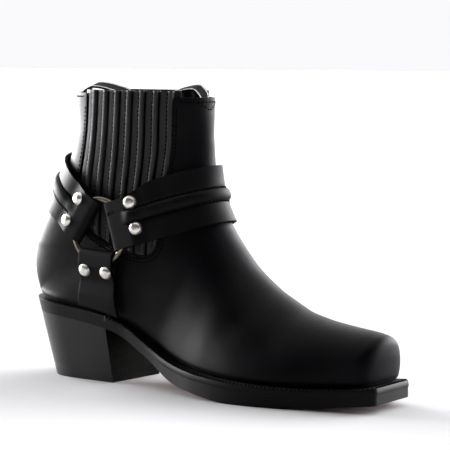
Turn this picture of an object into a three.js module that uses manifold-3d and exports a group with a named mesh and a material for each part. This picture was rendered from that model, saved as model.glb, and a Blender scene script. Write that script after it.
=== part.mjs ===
// Square-toed harness ankle boot for the right foot, standing empty on its heel and forefoot.
// Millimetres, +Z up, +X to the toe, +Y to the inner side of the foot. The boot is laid out from the
// back of its outsole, and the group is moved at the end so that its origin is under its middle.
import * as THREE from "three";
import { mergeVertices } from "three/addons/utils/BufferGeometryUtils.js";
import Module from "manifold-3d";

const wasm = await Module();
wasm.setup();

// Driving dimensions of the bottom
const LENGTH = 308; // outsole, heel to toe
const SOLE_WIDTH = 96; // outsole across the ball
const SEAT_HEIGHT = 56.5; // floor to the outsole's top at the back of the heel
const WELT_THICKNESS = 4.2;
const WELT_LEDGE = 7.5; // what the welt stands out from the upper
const WELT_START = 80; // where the seat ends and the welt begins
const HEEL_CURVE = 34; // length of the outsole's round back end
const TOE_CORNER = 3.5; // radius of the outsole's front corners
const TOE_SLANT = 2.5; // how far the toe's inner corner lies behind its outer one
const HEEL_RAKE = 17; // how far the heel's back runs in under the seat
const HEEL_BREAST = 79; // heel's front at its top
const BREAST_RAKE = 7.5; // how far the breast runs forward on its way down
const HEEL_TAPER = 4; // what the heel loses on each side
const LIFT_THICKNESS = 8;
const INSOLE_THICKNESS = 3;

// Driving dimensions of the upper
const COLLAR_HEIGHT = 209.5; // floor to the collar at the back
const SHAFT_WIDTH = 62;
const WALL = 2.2;
const FLARE = 2.5; // what the upper swells out above its lower edge
const GAP = 0.3; // between pieces that touch
const GUSSET_RIDGE = 0.8; // how far the tucks stand proud of the upper
const GUSSET_VALLEY = 1.3; // how far the ground between them lies below it
const GUSSET_RISE = 2; // what the gusset stands above the collar
const PLEATS = 7;
const INSOLE_ROOM = 2.6; // between the insole and the upper round it

// Driving dimensions of the harness
const RING_RADIUS = 23; // to the middle of the wire
const WIRE = 4;
const RING_X = 79; // ring's centre, from the back of the outsole
const RING_Z = 110;
const STRAP_WIDTH = 42;
const BACK_WIDTH = 36; // the back strap is narrower
const FOLD_WIDTH = 35; // a strap's width where it is folded round the ring
const STRAP_THICKNESS = 2;
const FRONT_STAND = 1.2; // how far a strap's upper edge stands off the upper
const BACK_STAND = 0.8;
const LOWER_STAND = 2;
const FOLD_REACH = 10; // ring's centre to a strap's fold
const LOWER_REACH = 13.2; // and to the lower strap's fold
const FRONT_SHIFT = 3.2; // how far the front strap's middle line lies above its fold's
const POCKET = 15.6; // depth of the fold that the ring lies in
const LAP = 31; // length of the end that is folded back
const RIB_WIDTH = 9;
const RIB_HEIGHT = 2.6;
const FRONT_RISE = 17.2; // degrees that the front strap rises from the ring
const BACK_RISE = 33; // degrees that the back strap rises from the ring
const LOWER_TILT = 3; // degrees that the lower strap runs back on its way down
const RIVET = 9.6; // diameter of a rivet's cap
const RIVET_HEIGHT = 2.8;
const SHANK = 3.4;
const RIVET_SPREAD = 19; // between the two rivets of a strap
const FRONT_RIVETS = 24; // a strap's fold to its rivets
const BACK_RIVETS = 17.5;
const LOWER_RIVETS = 16;
const LOWER_TOP = 30; // the lower strap's width at its fold
const LOWER_BOTTOM = 35;

// Driving dimensions of the pull loops
const WEB_WIDTH = 16;
const WEB_THICKNESS = 1.4;
const LOOP_DEPTH = 33; // how far a loop reaches in over the collar
const FRONT_LOOP_RISE = 7; // how far the loops stand above the collar
const BACK_LOOP_RISE = 5.2;
const LOOP_DROP = 28; // how far its ends lie below the collar
const LOOP_TURN = 15; // degrees that the loops are turned from the boot's length
const LOOP_TILT = 12; // degrees that their inner side is raised
const LOOP_SIDE = 5; // how far they start from the middle, to the inner side in front

// A smooth curve through the points at[i], value[i].
function smooth(at, value) {
  const slope = value.map((_, i) => {
    const a = Math.max(i - 1, 0);
    const b = Math.min(i + 1, at.length - 1);
    return (value[b] - value[a]) / (at[b] - at[a]);
  });
  return (x) => {
    let i = 0;
    while (i < at.length - 2 && x > at[i + 1]) i++;
    const h = at[i + 1] - at[i];
    const t = (x - at[i]) / h;
    const rise = value[i + 1] - value[i];
    const bend = h * (slope[i] + slope[i + 1]) - 2 * rise;
    return value[i] + t * (h * slope[i] + t * (rise - h * slope[i] - bend * (1 - t)));
  };
}

// The columns of a table as smooth curves of its first column, or of the row's number.
function columns(names, rows, keyed) {
  const at = rows.map((row, i) => (keyed ? row[0] : i));
  return Object.fromEntries(names.map((name, k) => [name, smooth(at, rows.map((row) => row[k]))]));
}

const clamp = THREE.MathUtils.clamp;
const lerp = THREE.MathUtils.lerp;
const step = (x, from, to) => THREE.MathUtils.smoothstep(x, from, to);
const radians = THREE.MathUtils.degToRad;

// The bottom, from heel to toe. along is a share of LENGTH, outer and inner are half widths as
// shares of SOLE_WIDTH, top and under are heights as shares of SEAT_HEIGHT, ledge of WELT_LEDGE.
const SOLE = columns(
  ["along", "outer", "inner", "top", "under", "ledge"],
  [
    [0, 0.325, 0.325, 1.02, 0.84, 0.4],
    [0.13, 0.335, 0.335, 0.945, 0.787, 0.4],
    [0.26, 0.335, 0.3, 0.86, 0.69, 0.5],
    [0.33, 0.33, 0.255, 0.73, 0.565, 0.8],
    [0.405, 0.355, 0.25, 0.525, 0.36, 0.95],
    [0.48, 0.415, 0.305, 0.375, 0.15, 1],
    [0.565, 0.485, 0.395, 0.3, 0.06, 1],
    [0.66, 0.515, 0.475, 0.258, 0.0, 1],
    [0.76, 0.475, 0.485, 0.237, -0.012, 1],
    [0.865, 0.375, 0.405, 0.245, 0.03, 1],
    [0.945, 0.3, 0.325, 0.276, 0.073, 1],
    [1, 0.245, 0.255, 0.313, 0.108, 1.05],
  ],
  true,
);
const ledge = (x) => SOLE.ledge(x / LENGTH) * WELT_LEDGE;

// The bottom's height is straight between these shared places, so the pieces on it meet evenly.
const PLACES = Array.from({ length: 33 }, (_, i) => (i * LENGTH) / 32);
const TOPS = PLACES.map((x) => SOLE.top(x / LENGTH) * SEAT_HEIGHT);
function soleTop(x) {
  const at = clamp((x / LENGTH) * 32, 0, 32);
  const i = Math.min(31, Math.floor(at));
  return lerp(TOPS[i], TOPS[i + 1], at - i);
}
const soleUnder = (x) => Math.max(0, SOLE.under(x / LENGTH) * SEAT_HEIGHT);

// Half width of the bottom's outline at x, taken in by inset. side is -1 outside and 1 inside.
function outline(side, x, inset) {
  const full = (side < 0 ? SOLE.outer : SOLE.inner)(x / LENGTH) * SOLE_WIDTH - inset;
  const heel = clamp((x - inset) / (HEEL_CURVE - inset), 0, 1);
  const toe = clamp((LENGTH - inset - x) / TOE_CORNER, 0, 1);
  return full * (1 - (1 - heel) ** 2.2) ** (1 / 2.2) - TOE_CORNER * (1 - Math.sqrt(1 - (1 - toe) ** 2));
}

// The upper's sections, from the toe over the instep and the ankle to the collar. Each lies in a
// plane from its foot, on the lower edge or up the back, to its head, up the front: footX and headX
// are shares of LENGTH, footZ and headZ of COLLAR_HEIGHT. rear and fore are half widths near the
// foot and the head, and ridge is how far the head lies to the inner side, as shares of SHAFT_WIDTH.
// round and back say how blunt the section is at its head and its foot.
const SEAT_ROW = 15; // the first section that closes behind the heel
const SECTION_ROWS = [
  [0.937, 0.08, 0.975, 0.084, 0.3, 0.35, 6, 8, 0.01],
  [0.93, 0.08, 0.984, 0.131, 0.3, 0.35, 6, 8, 0.01],
  [0.921, 0.08, 0.989, 0.183, 0.3, 0.345, 5.5, 8, 0.01],
  [0.907, 0.08, 0.984, 0.228, 0.3, 0.34, 5, 8, 0.01],
  [0.887, 0.08, 0.956, 0.245, 0.3, 0.36, 4, 8, 0.01],
  [0.85, 0.07, 0.895, 0.256, 0.3, 0.41, 3.2, 8, 0.015],
  [0.795, 0.07, 0.824, 0.27, 0.32, 0.49, 2.8, 8, 0.025],
  [0.732, 0.07, 0.757, 0.295, 0.34, 0.55, 2.5, 8, 0.04],
  [0.659, 0.07, 0.69, 0.343, 0.36, 0.56, 2.6, 8, 0.05],
  [0.58, 0.08, 0.63, 0.403, 0.4, 0.53, 3, 8, 0.05],
  [0.49, 0.1, 0.584, 0.475, 0.44, 0.48, 3.6, 8, 0.04],
  [0.391, 0.16, 0.547, 0.55, 0.47, 0.45, 4.2, 8, 0.03],
  [0.285, 0.22, 0.521, 0.624, 0.485, 0.435, 4.6, 8, 0.015],
  [0.176, 0.25, 0.508, 0.696, 0.49, 0.425, 5, 8.5, 0],
  [0.08, 0.27, 0.502, 0.757, 0.495, 0.42, 5, 10.5, 0],
  [0.0098, 0.276, 0.4995, 0.8, 0.505, 0.42, 5, 12.5, 0],
  [-0.0115, 0.353, 0.4985, 0.833, 0.51, 0.42, 5, 11.5, 0],
  [-0.0085, 0.43, 0.497, 0.861, 0.505, 0.42, 5, 10, 0],
  [0.0095, 0.511, 0.4965, 0.886, 0.5, 0.42, 5, 8.5, 0],
  [0.0405, 0.597, 0.496, 0.906, 0.49, 0.425, 5, 7.5, 0],
  [0.0744, 0.692, 0.4955, 0.928, 0.485, 0.43, 5, 6.5, 0],
  [0.1, 0.79, 0.4945, 0.948, 0.485, 0.435, 5, 5.8, 0],
  [0.1125, 0.885, 0.4945, 0.966, 0.485, 0.44, 5, 5.3, 0],
  [0.1115, 1, 0.4945, 0.986, 0.485, 0.44, 5, 5, 0],
];
const SECTION = columns(
  ["footX", "footZ", "headX", "headZ", "rear", "fore", "round", "back", "ridge"],
  SECTION_ROWS,
  false,
);
const LAST_ROW = SECTION_ROWS.length - 1;

// One half of the section at row t, from its foot (share 0) to its head (share 1).
function sectionPoint(t, side, share) {
  const x0 = SECTION.footX(t) * LENGTH;
  const x1 = SECTION.headX(t) * LENGTH;
  const z0 = t < SEAT_ROW ? soleTop(x0) + GAP : SECTION.footZ(t) * COLLAR_HEIGHT;
  const z1 = SECTION.headZ(t) * COLLAR_HEIGHT;
  const edge = t < SEAT_ROW ? outline(side, x0, ledge(x0)) : 0;
  const rear = Math.max(SECTION.rear(t) * SHAFT_WIDTH, edge + FLARE);
  const fore = SECTION.fore(t) * SHAFT_WIDTH;
  const shut = (1 - (edge / rear) ** 2) ** (1 / SECTION.back(t)); // 1 where the section closes
  const ends = Math.sqrt((1 - share ** SECTION.round(t)) * (1 - (shut * (1 - share)) ** SECTION.back(t)));
  const y = SECTION.ridge(t) * SHAFT_WIDTH * share + side * lerp(rear, fore, share) * ends;
  return new THREE.Vector3(lerp(x0, x1, share), y, lerp(z0, z1, share));
}

// A polyline of count + 1 points along a longer one, closer together near its start.
const CROWDING = 1.3;
function spread(points, count) {
  const run = [0];
  for (let i = 1; i < points.length; i++) run.push(run[i - 1] + points[i].distanceTo(points[i - 1]));
  const made = [];
  for (let k = 0, i = 0; k <= count; k++) {
    const at = run[points.length - 1] * (k / count) ** CROWDING;
    while (i < points.length - 2 && run[i + 1] < at) i++;
    const share = (at - run[i]) / (run[i + 1] - run[i] || 1);
    made.push(points[i].clone().lerp(points[i + 1], share));
  }
  return made;
}

// The whole section at row t: inner lower edge, over the head, outer lower edge.
function section(t, across) {
  const fine = 48;
  const half = (side) =>
    spread(
      Array.from({ length: fine + 1 }, (_, k) =>
        sectionPoint(t, side, (1 - Math.cos((Math.PI * k) / fine)) / 2),
      ),
      across / 2,
    );
  return [...half(1), ...half(-1).reverse().slice(1)];
}

// Vertices and triangles, gathered into a geometry.
class Mesher {
  constructor() {
    this.points = [];
    this.faces = [];
  }
  add(point) {
    this.points.push(point);
    return this.points.length - 1;
  }
  quad(a, b, c, d) {
    this.faces.push(a, b, c, a, c, d);
  }
  geometry() {
    const made = new THREE.BufferGeometry();
    made.setAttribute("position", new THREE.Float32BufferAttribute(this.points.flatMap((p) => p.toArray()), 3));
    made.setIndex(this.faces);
    return made;
  }
}

// A solid from a closed geometry: shared vertices merged, empty triangles dropped, faces outwards.
function solid(geometry) {
  const bare = geometry.clone();
  for (const name of Object.keys(bare.attributes)) if (name !== "position") bare.deleteAttribute(name);
  const merged = mergeVertices(bare, 1e-3);
  const index = merged.index.array;
  const kept = [];
  for (let i = 0; i < index.length; i += 3) {
    const [a, b, c] = [index[i], index[i + 1], index[i + 2]];
    if (a !== b && b !== c && c !== a) kept.push(a, b, c);
  }
  const build = (faces) =>
    new wasm.Manifold(
      new wasm.Mesh({
        numProp: 3,
        vertProperties: new Float32Array(merged.attributes.position.array),
        triVerts: new Uint32Array(faces),
      }),
    );
  const made = build(kept);
  if (made.volume() > 0) return made;
  return build(kept.map((_, i) => kept[i - (i % 3) + [0, 2, 1][i % 3]]));
}

function geometryOf(made) {
  const mesh = made.getMesh();
  return new THREE.BufferGeometry()
    .setAttribute("position", new THREE.BufferAttribute(new Float32Array(mesh.vertProperties), 3))
    .setIndex(new THREE.BufferAttribute(new Uint32Array(mesh.triVerts), 1));
}

// A slab through stations, each with its top and bottom points on both sides.
function slab(stations) {
  const mesher = new Mesher();
  const rows = stations.map((s) => [s.topInner, s.topOuter, s.bottomOuter, s.bottomInner].map((p) => mesher.add(p)));
  for (let i = 1; i < rows.length; i++)
    for (let k = 0; k < 4; k++) {
      const n = (k + 1) % 4;
      mesher.quad(rows[i - 1][k], rows[i - 1][n], rows[i][n], rows[i][k]);
    }
  mesher.quad(...[...rows[0]].reverse());
  mesher.quad(...rows[rows.length - 1]);
  return solid(mesher.geometry());
}

// A point of the bottom's edge at height z. The heel's back, sides and breast slope in below the
// seat, and the outsole's edge slopes with them.
function edgePoint(side, x, inset, z) {
  const down = 1 - z / SEAT_HEIGHT;
  const fade = 1 - step(x, HEEL_BREAST, HEEL_BREAST + HEEL_CURVE);
  const ahead = lerp(HEEL_RAKE, BREAST_RAKE, clamp(x / HEEL_BREAST, 0, 1));
  const half = Math.max(0, outline(side, x, inset));
  const full = Math.max(half, outline(side, HEEL_CURVE, inset));
  const taken = (HEEL_TAPER * down * fade * half) / full;
  const slant = side > 0 ? TOE_SLANT * step(x, 0.9 * LENGTH, LENGTH) : 0;
  return new THREE.Vector3(x + ahead * down * fade - slant, side * (half - taken), z);
}

// The shared places between from and to, with more at the round ends of an outline.
function placesAlong(from, to, inset, also) {
  const start = inset(0);
  const end = LENGTH - inset(LENGTH);
  const round = [
    ...[0.03, 0.12, 0.27, 0.5, 0.78].map((share) => start + share * HEEL_CURVE),
    ...[0.25, 0.06].map((share) => end - TOE_CORNER * share),
  ];
  const inside = [...PLACES, ...round].filter((x) => x > from + 0.5 && x < to - 0.5);
  return [from, ...inside, ...also, to].sort((a, b) => a - b);
}

// A plate of the bottom's outline, taken in by inset(x), between two heights that follow x.
function plate({ inset = () => 0, over, under, from = inset(0), to = LENGTH - inset(LENGTH), also = [] }) {
  return slab(
    placesAlong(from, to, inset, also).map((x) => ({
      topInner: edgePoint(1, x, inset(x), over(x)),
      topOuter: edgePoint(-1, x, inset(x), over(x)),
      bottomOuter: edgePoint(-1, x, inset(x), under(x)),
      bottomInner: edgePoint(1, x, inset(x), under(x)),
    })),
  );
}

// The outsole steps down where the welt lies on it.
function makeOutsole() {
  const rise = WELT_START - 2 * GAP;
  return plate({
    over: (x) => soleTop(x) - (x < rise ? 0 : WELT_THICKNESS + GAP),
    under: soleUnder,
    also: [rise - GAP, rise + GAP],
  });
}

// The welt is a band from the heel round the toe, open where the insole fills it.
function makeWelt() {
  const band = plate({ over: soleTop, under: (x) => soleTop(x) - WELT_THICKNESS, from: WELT_START });
  const filled = plate({
    inset: (x) => ledge(x) + WALL + GAP,
    over: (x) => soleTop(x) + WELT_THICKNESS,
    under: (x) => soleTop(x) - 2 * WELT_THICKNESS,
  });
  return band.subtract(filled);
}

// The insole lies on the seat and, with its filling, on the outsole inside the welt.
function makeInsole() {
  return plate({
    inset: (x) => ledge(x) + WALL + INSOLE_ROOM,
    over: (x) => soleTop(x) + GAP + INSOLE_THICKNESS,
    under: (x) => soleTop(x) + GAP - (x > WELT_START + GAP ? WELT_THICKNESS + GAP : 0),
    also: [WELT_START + GAP, WELT_START + 2 * GAP],
  });
}

function heelSlab(over, under) {
  const shares = [0, 0.013, 0.05, 0.12, 0.22, 0.34, 0.43, 0.6, 0.8, 1];
  return slab(
    shares.map((share) => {
      const x = share * HEEL_BREAST;
      return {
        topInner: edgePoint(1, x, 0, over(x)),
        topOuter: edgePoint(-1, x, 0, over(x)),
        bottomOuter: edgePoint(-1, x, 0, under(x)),
        bottomInner: edgePoint(1, x, 0, under(x)),
      };
    }),
  );
}

const makeHeelBlock = () => heelSlab((x) => soleUnder(x) - GAP, () => LIFT_THICKNESS + GAP);
const makeHeelLift = () => heelSlab(() => LIFT_THICKNESS, () => 0);

// The upper's outer face as a grid of rows from toe to seat to collar. The rows above the seat are
// closed: their two ends are one point.
function upperGrid(toSeat, toCollar, across) {
  const rows = [
    ...Array.from({ length: toSeat }, (_, i) => ((SEAT_ROW - 1) * i) / toSeat),
    ...[1, 0.6, 0.3, 0.1].map((before) => SEAT_ROW - before),
    ...Array.from({ length: toCollar + 1 }, (_, i) => lerp(SEAT_ROW, LAST_ROW, i / toCollar)),
  ];
  return rows.map((t) => ({ points: section(t, across), closed: t >= SEAT_ROW }));
}

function gridMesher(grid) {
  const mesher = new Mesher();
  const ids = grid.map(({ points, closed }) => {
    const made = points.map((p, j) => (closed && j === points.length - 1 ? -1 : mesher.add(p)));
    if (closed) made[made.length - 1] = made[0];
    return made;
  });
  for (let i = 1; i < ids.length; i++)
    for (let j = 1; j < ids[i].length; j++) mesher.quad(ids[i - 1][j - 1], ids[i - 1][j], ids[i][j], ids[i][j - 1]);
  return { mesher, ids };
}

// The shell between the outer face and the same face moved in by WALL, trimmed to the sole.
function makeUpperShell() {
  const grid = upperGrid(15, 9, 24);
  const { mesher, ids } = gridMesher(grid);
  const outer = mesher.geometry();
  outer.computeVertexNormals();
  const normal = outer.getAttribute("normal");
  const count = mesher.points.length;
  const seat = grid.findIndex((row) => row.closed);
  const lower = [
    ...ids[0],
    ...ids.slice(1, seat + 1).map((row) => row[row.length - 1]),
    ...ids.slice(1, seat).map((row) => row[0]).reverse(),
  ];
  const onEdge = new Set(lower);
  const facesIn = Math.sign(normal.getZ(ids[Math.round(seat / 3)][12]));
  for (let i = 0; i < count; i++) {
    const inward = new THREE.Vector3().fromBufferAttribute(normal, i).multiplyScalar(-WALL * facesIn);
    if (onEdge.has(i)) inward.setZ(0).setLength(WALL);
    const point = mesher.points[i].clone().add(inward);
    if (onEdge.has(i)) {
      mesher.points[i].z = soleTop(mesher.points[i].x) - WELT_THICKNESS / 2;
      point.z = soleTop(point.x) - WELT_THICKNESS / 2;
    }
    mesher.add(point);
  }
  mesher.faces.push(...mesher.faces.map((_, i, all) => all[i - (i % 3) + [0, 2, 1][i % 3]] + count));
  const rim = (loop) =>
    loop.forEach((a, k) => {
      const b = loop[(k + 1) % loop.length];
      mesher.quad(a, a + count, b + count, b);
    });
  rim(lower);
  rim(ids[ids.length - 1].slice(0, -1).reverse());
  const below = plate({ over: (x) => soleTop(x) + GAP, under: (x) => soleTop(x) - 2 * WELT_THICKNESS });
  return solid(mesher.geometry()).subtract(below);
}

// A finer copy of the outer face, which everything that lies on the upper is laid against.
const FACE = (() => {
  const { mesher } = gridMesher(upperGrid(42, 24, 60));
  const geometry = mesher.geometry();
  geometry.computeVertexNormals();
  return new THREE.Mesh(geometry, new THREE.MeshBasicMaterial({ side: THREE.DoubleSide }));
})();
const caster = new THREE.Raycaster();

// Where a ray from inside leaves the upper, with the face's outward normal there.
function cast(from, towards) {
  caster.set(from, towards.clone().normalize());
  const hit = caster.intersectObject(FACE)[0];
  if (!hit) return null;
  const normal = hit.normal.clone();
  if (normal.dot(towards) < 0) normal.negate();
  return { point: hit.point, normal };
}

// The point of the upper's side at x and z.
function onSide(side, x, z) {
  return cast(new THREE.Vector3(x, 0, z), new THREE.Vector3(0, side, 0));
}

// The gusset's outline in side view, from the collar down its back edge, round its foot and up its
// front edge. along is a share of LENGTH and up a share of COLLAR_HEIGHT.
const GUSSET_EDGE = [
  [0.191, 1.06],
  [0.184, 0.84],
  [0.172, 0.68],
  [0.178, 0.57],
  [0.235, 0.5],
  [0.32, 0.457],
  [0.375, 0.448],
  [0.403, 0.476],
  [0.413, 0.55],
  [0.42, 0.68],
  [0.434, 0.84],
  [0.444, 1.06],
];

function gussetPrism(side, inset) {
  const points = GUSSET_EDGE.map(([along, up]) => new THREE.Vector2(along * LENGTH, up * COLLAR_HEIGHT));
  const middle = new THREE.Vector2(
    (points[0].x + points[points.length - 1].x) / 2,
    points[0].y / 2 + points[6].y / 2,
  );
  const curve = new THREE.SplineCurve(points).getPoints(28);
  const taken = curve.map((p, i) => {
    const ahead = curve[Math.min(i + 1, curve.length - 1)];
    const behind = curve[Math.max(i - 1, 0)];
    const across = new THREE.Vector2(behind.y - ahead.y, ahead.x - behind.x).setLength(inset);
    if (across.dot(middle.clone().sub(p)) < 0) across.negate();
    return p.clone().add(across);
  });
  const block = new THREE.ExtrudeGeometry(new THREE.Shape(taken), { depth: SHAFT_WIDTH, bevelEnabled: false });
  block.rotateX(Math.PI / 2);
  block.translate(0, side > 0 ? SHAFT_WIDTH + GAP : -GAP, 0);
  return solid(block);
}

// Height of the pleats above the gusset's ground, by the share of one pleat from back to front.
const PLEAT = [
  [0, 0],
  [0.08, 0.2],
  [0.58, 0.3],
  [0.66, 1],
  [0.92, 1],
];

function makeGusset(side) {
  const edge = (rows) => smooth(rows.map(([, up]) => up), rows.map(([along]) => along));
  const back = edge([GUSSET_EDGE[2], GUSSET_EDGE[1], GUSSET_EDGE[0]]);
  const front = edge(GUSSET_EDGE.slice(-4));
  const columnsOf = [];
  for (let p = 0; p < PLEATS; p++) for (const [share, height] of PLEAT) columnsOf.push([p + share, height]);
  columnsOf.push([PLEATS, 0]);
  const rowsUp = 4;
  const foot = 0.42 * COLLAR_HEIGHT;
  const mesher = new Mesher();
  const grid = Array.from({ length: rowsUp + 1 }, (_, i) => {
    const z = lerp(foot, COLLAR_HEIGHT + GUSSET_RISE, i / rowsUp);
    const zFace = Math.min(z, 0.985 * COLLAR_HEIGHT);
    return columnsOf.map(([pleat, height]) => {
      const x = lerp(back(z / COLLAR_HEIGHT), front(z / COLLAR_HEIGHT), pleat / PLEATS) * LENGTH;
      const { point, normal } = onSide(side, x, zFace);
      const out = -GUSSET_VALLEY + height * (GUSSET_VALLEY + GUSSET_RIDGE);
      const lift = new THREE.Vector3(0, 0, z - zFace);
      return [out, -WALL - GUSSET_VALLEY / 2].map((by) =>
        mesher.add(point.clone().addScaledVector(normal, by).add(lift)),
      );
    });
  });
  const last = grid[0].length - 1;
  for (let i = 1; i <= rowsUp; i++)
    for (let j = 1; j <= last; j++) {
      const [a, b, c, d] = [grid[i - 1][j - 1], grid[i - 1][j], grid[i][j], grid[i][j - 1]];
      mesher.quad(a[0], b[0], c[0], d[0]);
      mesher.quad(d[1], c[1], b[1], a[1]);
    }
  const loop = [
    ...grid[0].map((g) => g),
    ...grid.slice(1).map((row) => row[last]),
    ...grid[rowsUp].slice(0, -1).reverse(),
    ...grid.slice(1, -1).map((row) => row[0]).reverse(),
  ];
  loop.forEach((a, k) => {
    const b = loop[(k + 1) % loop.length];
    mesher.quad(b[0], a[0], a[1], b[1]);
  });
  return solid(mesher.geometry()).intersect(gussetPrism(side, GAP));
}

// A ring lies in a plane that touches the ankle's side. Its axes are the boot's length and height
// laid into that plane, and out, away from the boot.
function ringFrame(side) {
  const { point, normal } = onSide(side, RING_X, RING_Z);
  const out = normal.clone();
  const up = new THREE.Vector3(0, 0, 1).addScaledVector(out, -out.z).normalize();
  const along = new THREE.Vector3(1, 0, 0).addScaledVector(out, -out.x);
  along.addScaledVector(up, -along.dot(up)).normalize();
  const lift = GUSSET_RIDGE + 6 * GAP + STRAP_THICKNESS + WIRE / 2;
  return { side, out, up, along, centre: point.clone().addScaledVector(out, lift) };
}
const RINGS = { outer: ringFrame(-1), inner: ringFrame(1) };

// The straps that leave each ring, at degrees from the boot's length. fold and wide are a strap's
// widths at its ring and away from it, reach is how far its fold lies from the ring's centre, shift
// how far its middle line lies above the fold's, rivets how far its rivets lie from the fold, stand
// how far it comes away from the upper and rib the height of the rib along it.
const STRAPS = {
  front: {
    degrees: FRONT_RISE,
    reach: FOLD_REACH,
    shift: FRONT_SHIFT,
    fold: FOLD_WIDTH,
    wide: STRAP_WIDTH,
    rivets: FRONT_RIVETS,
    stand: FRONT_STAND,
    rib: RIB_HEIGHT,
  },
  back: {
    degrees: 180 - BACK_RISE,
    reach: FOLD_REACH,
    shift: 0,
    fold: FOLD_WIDTH,
    wide: BACK_WIDTH,
    rivets: BACK_RIVETS,
    stand: BACK_STAND,
    rib: RIB_HEIGHT,
  },
  lower: {
    degrees: 270 - LOWER_TILT,
    reach: LOWER_REACH,
    shift: 0,
    fold: LOWER_TOP,
    wide: LOWER_BOTTOM,
    rivets: LOWER_RIVETS,
    stand: LOWER_STAND,
    rib: 0,
  },
};

// One end of a strap: its ring, the direction away from the ring and the one across the strap.
function strapEnd(ring, strap) {
  const a = radians(strap.degrees);
  const away = ring.along.clone().multiplyScalar(Math.cos(a)).addScaledVector(ring.up, Math.sin(a));
  const across = ring.along.clone().multiplyScalar(-Math.sin(a)).addScaledVector(ring.up, Math.cos(a));
  return { ...strap, ring, away, across };
}

const POCKET_HALF = WIRE / 2 + GAP; // from the ring's plane to each layer of a fold
const FOLD_HALF = POCKET_HALF + STRAP_THICKNESS;

// A point of a strap near its ring: run from the fold, over across it, high from the ring's plane.
function atRing(end, run, over, high) {
  return end.ring.centre
    .clone()
    .addScaledVector(end.away, end.reach + run)
    .addScaledVector(end.across, over + end.shift)
    .addScaledVector(end.ring.out, high);
}

const ribProfile = (over) => Math.sqrt(Math.max(0, 1 - (over / (RIB_WIDTH / 2)) ** 2));
const edgeOf = (end, run, hand) =>
  hand * lerp(end.fold / 2 - hand * end.shift, end.wide / 2, step(run, POCKET, POCKET + LAP));
const NEAR_UPPER = GUSSET_RIDGE + 2 * GAP; // between a strap and the upper where it lies close

// How thick a strap is with its lap underneath, and how high its outer face lies over the gap. The
// outer face comes down slowly, so the lap's end shows only underneath.
const thickness = (run) => STRAP_THICKNESS * lerp(2, 1, step(run, LAP - 1, LAP + 1));
const outerHeight = (run) => STRAP_THICKNESS * lerp(2, 1, step(run, LAP - 1, 2 * LAP));

// How far a strap comes away from the upper: most at its upper edge and away from its ends.
function standOff(end, run, over, length) {
  if (!end.rib) return end.stand * (1 - step(run, LAP, length));
  const high = 0.5 + (over * Math.sign(end.across.z)) / end.wide;
  return end.stand * lerp(0.3, 1, high) * step(run, LAP, 2 * LAP);
}

// Under and outer face of a strap at run from its fold, given the upper's face there. The fold lies
// in the ring's plane as far as past its rivets, and its outer layer slopes down to them.
function strapFaces(end, run, over, face, length) {
  const { ring } = end;
  const flat = 1 - step(run, end.rivets + 5, end.rivets + 27);
  const top = outerHeight(run);
  const bottom = top - thickness(run);
  const ribbed = end.rib * ribProfile(over) * step(run, 14, 24);
  const slope = clamp((run - end.rivets + 4) / 12, 0, 1);
  const closed = lerp(0.45, 1, step(run, -0.1, 2.4));
  const low = -FOLD_HALF * closed;
  const high = lerp(FOLD_HALF * closed, low + top, slope);
  const lift = NEAR_UPPER + standOff(end, run, over, length);
  const laid = [bottom, top].map((by) => face.point.clone().addScaledVector(face.normal, lift + by));
  const held = [low + bottom, high].map((by) => atRing(end, run, over, by));
  const outward = face.normal.clone().lerp(ring.out, flat).normalize();
  return [laid[0].lerp(held[0], flat), laid[1].lerp(held[1], flat).addScaledVector(outward, ribbed)];
}

// Stations of a strap's end, with the bends of its fold and the end of its lap.
const endRuns = (end) => [0, 1.2, 2.6, 8, end.rivets - 4, end.rivets + 2, end.rivets + 5, LAP - 1, LAP + 1, LAP + 7];

// A solid between two faces of a grid of [under, outer] pairs.
function padded(grid) {
  const mesher = new Mesher();
  const ids = grid.map((row) => row.map((pair) => pair.map((p) => mesher.add(p))));
  const [m, n] = [ids.length - 1, ids[0].length - 1];
  for (let i = 1; i <= m; i++)
    for (let j = 1; j <= n; j++) {
      const [a, b, c, d] = [ids[i - 1][j - 1], ids[i - 1][j], ids[i][j], ids[i][j - 1]];
      mesher.quad(a[1], b[1], c[1], d[1]);
      mesher.quad(d[0], c[0], b[0], a[0]);
    }
  const loop = [
    ...ids[0],
    ...ids.slice(1).map((row) => row[n]),
    ...ids[m].slice(0, -1).reverse(),
    ...ids.slice(1, -1).map((row) => row[0]).reverse(),
  ];
  loop.forEach((a, k) => {
    const b = loop[(k + 1) % loop.length];
    mesher.quad(a[0], b[0], b[1], a[1]);
  });
  return solid(mesher.geometry());
}

// The room for the ring in a fold, as a slab in the ring's plane.
function pocketSolid(end) {
  const wide = STRAP_WIDTH;
  return slab(
    [STRAP_THICKNESS, POCKET].map((run) => ({
      topInner: atRing(end, run, wide, POCKET_HALF),
      topOuter: atRing(end, run, -wide, POCKET_HALF),
      bottomOuter: atRing(end, run, -wide, -POCKET_HALF),
      bottomInner: atRing(end, run, wide, -POCKET_HALF),
    })),
  );
}

// The two rivets of a strap's end: where each meets the strap's sloping outer layer, and its
// direction.
function rivetSeats(end) {
  const slope = (2 * FOLD_HALF - 2 * STRAP_THICKNESS) / 12;
  const out = end.ring.out.clone().addScaledVector(end.away, slope).normalize();
  return [-1, 1].map((hand) => ({
    outer: atRing(end, end.rivets, (hand * RIVET_SPREAD) / 2, FOLD_HALF - 4 * slope),
    out,
  }));
}

function turnedLathe(profile, seat, sides) {
  const made = new THREE.LatheGeometry(profile.map(([r, h]) => new THREE.Vector2(r, h)), sides);
  const turn = new THREE.Quaternion().setFromUnitVectors(new THREE.Vector3(0, 1, 0), seat.out);
  made.applyQuaternion(turn);
  made.translate(...seat.outer.toArray());
  return made;
}

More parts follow.
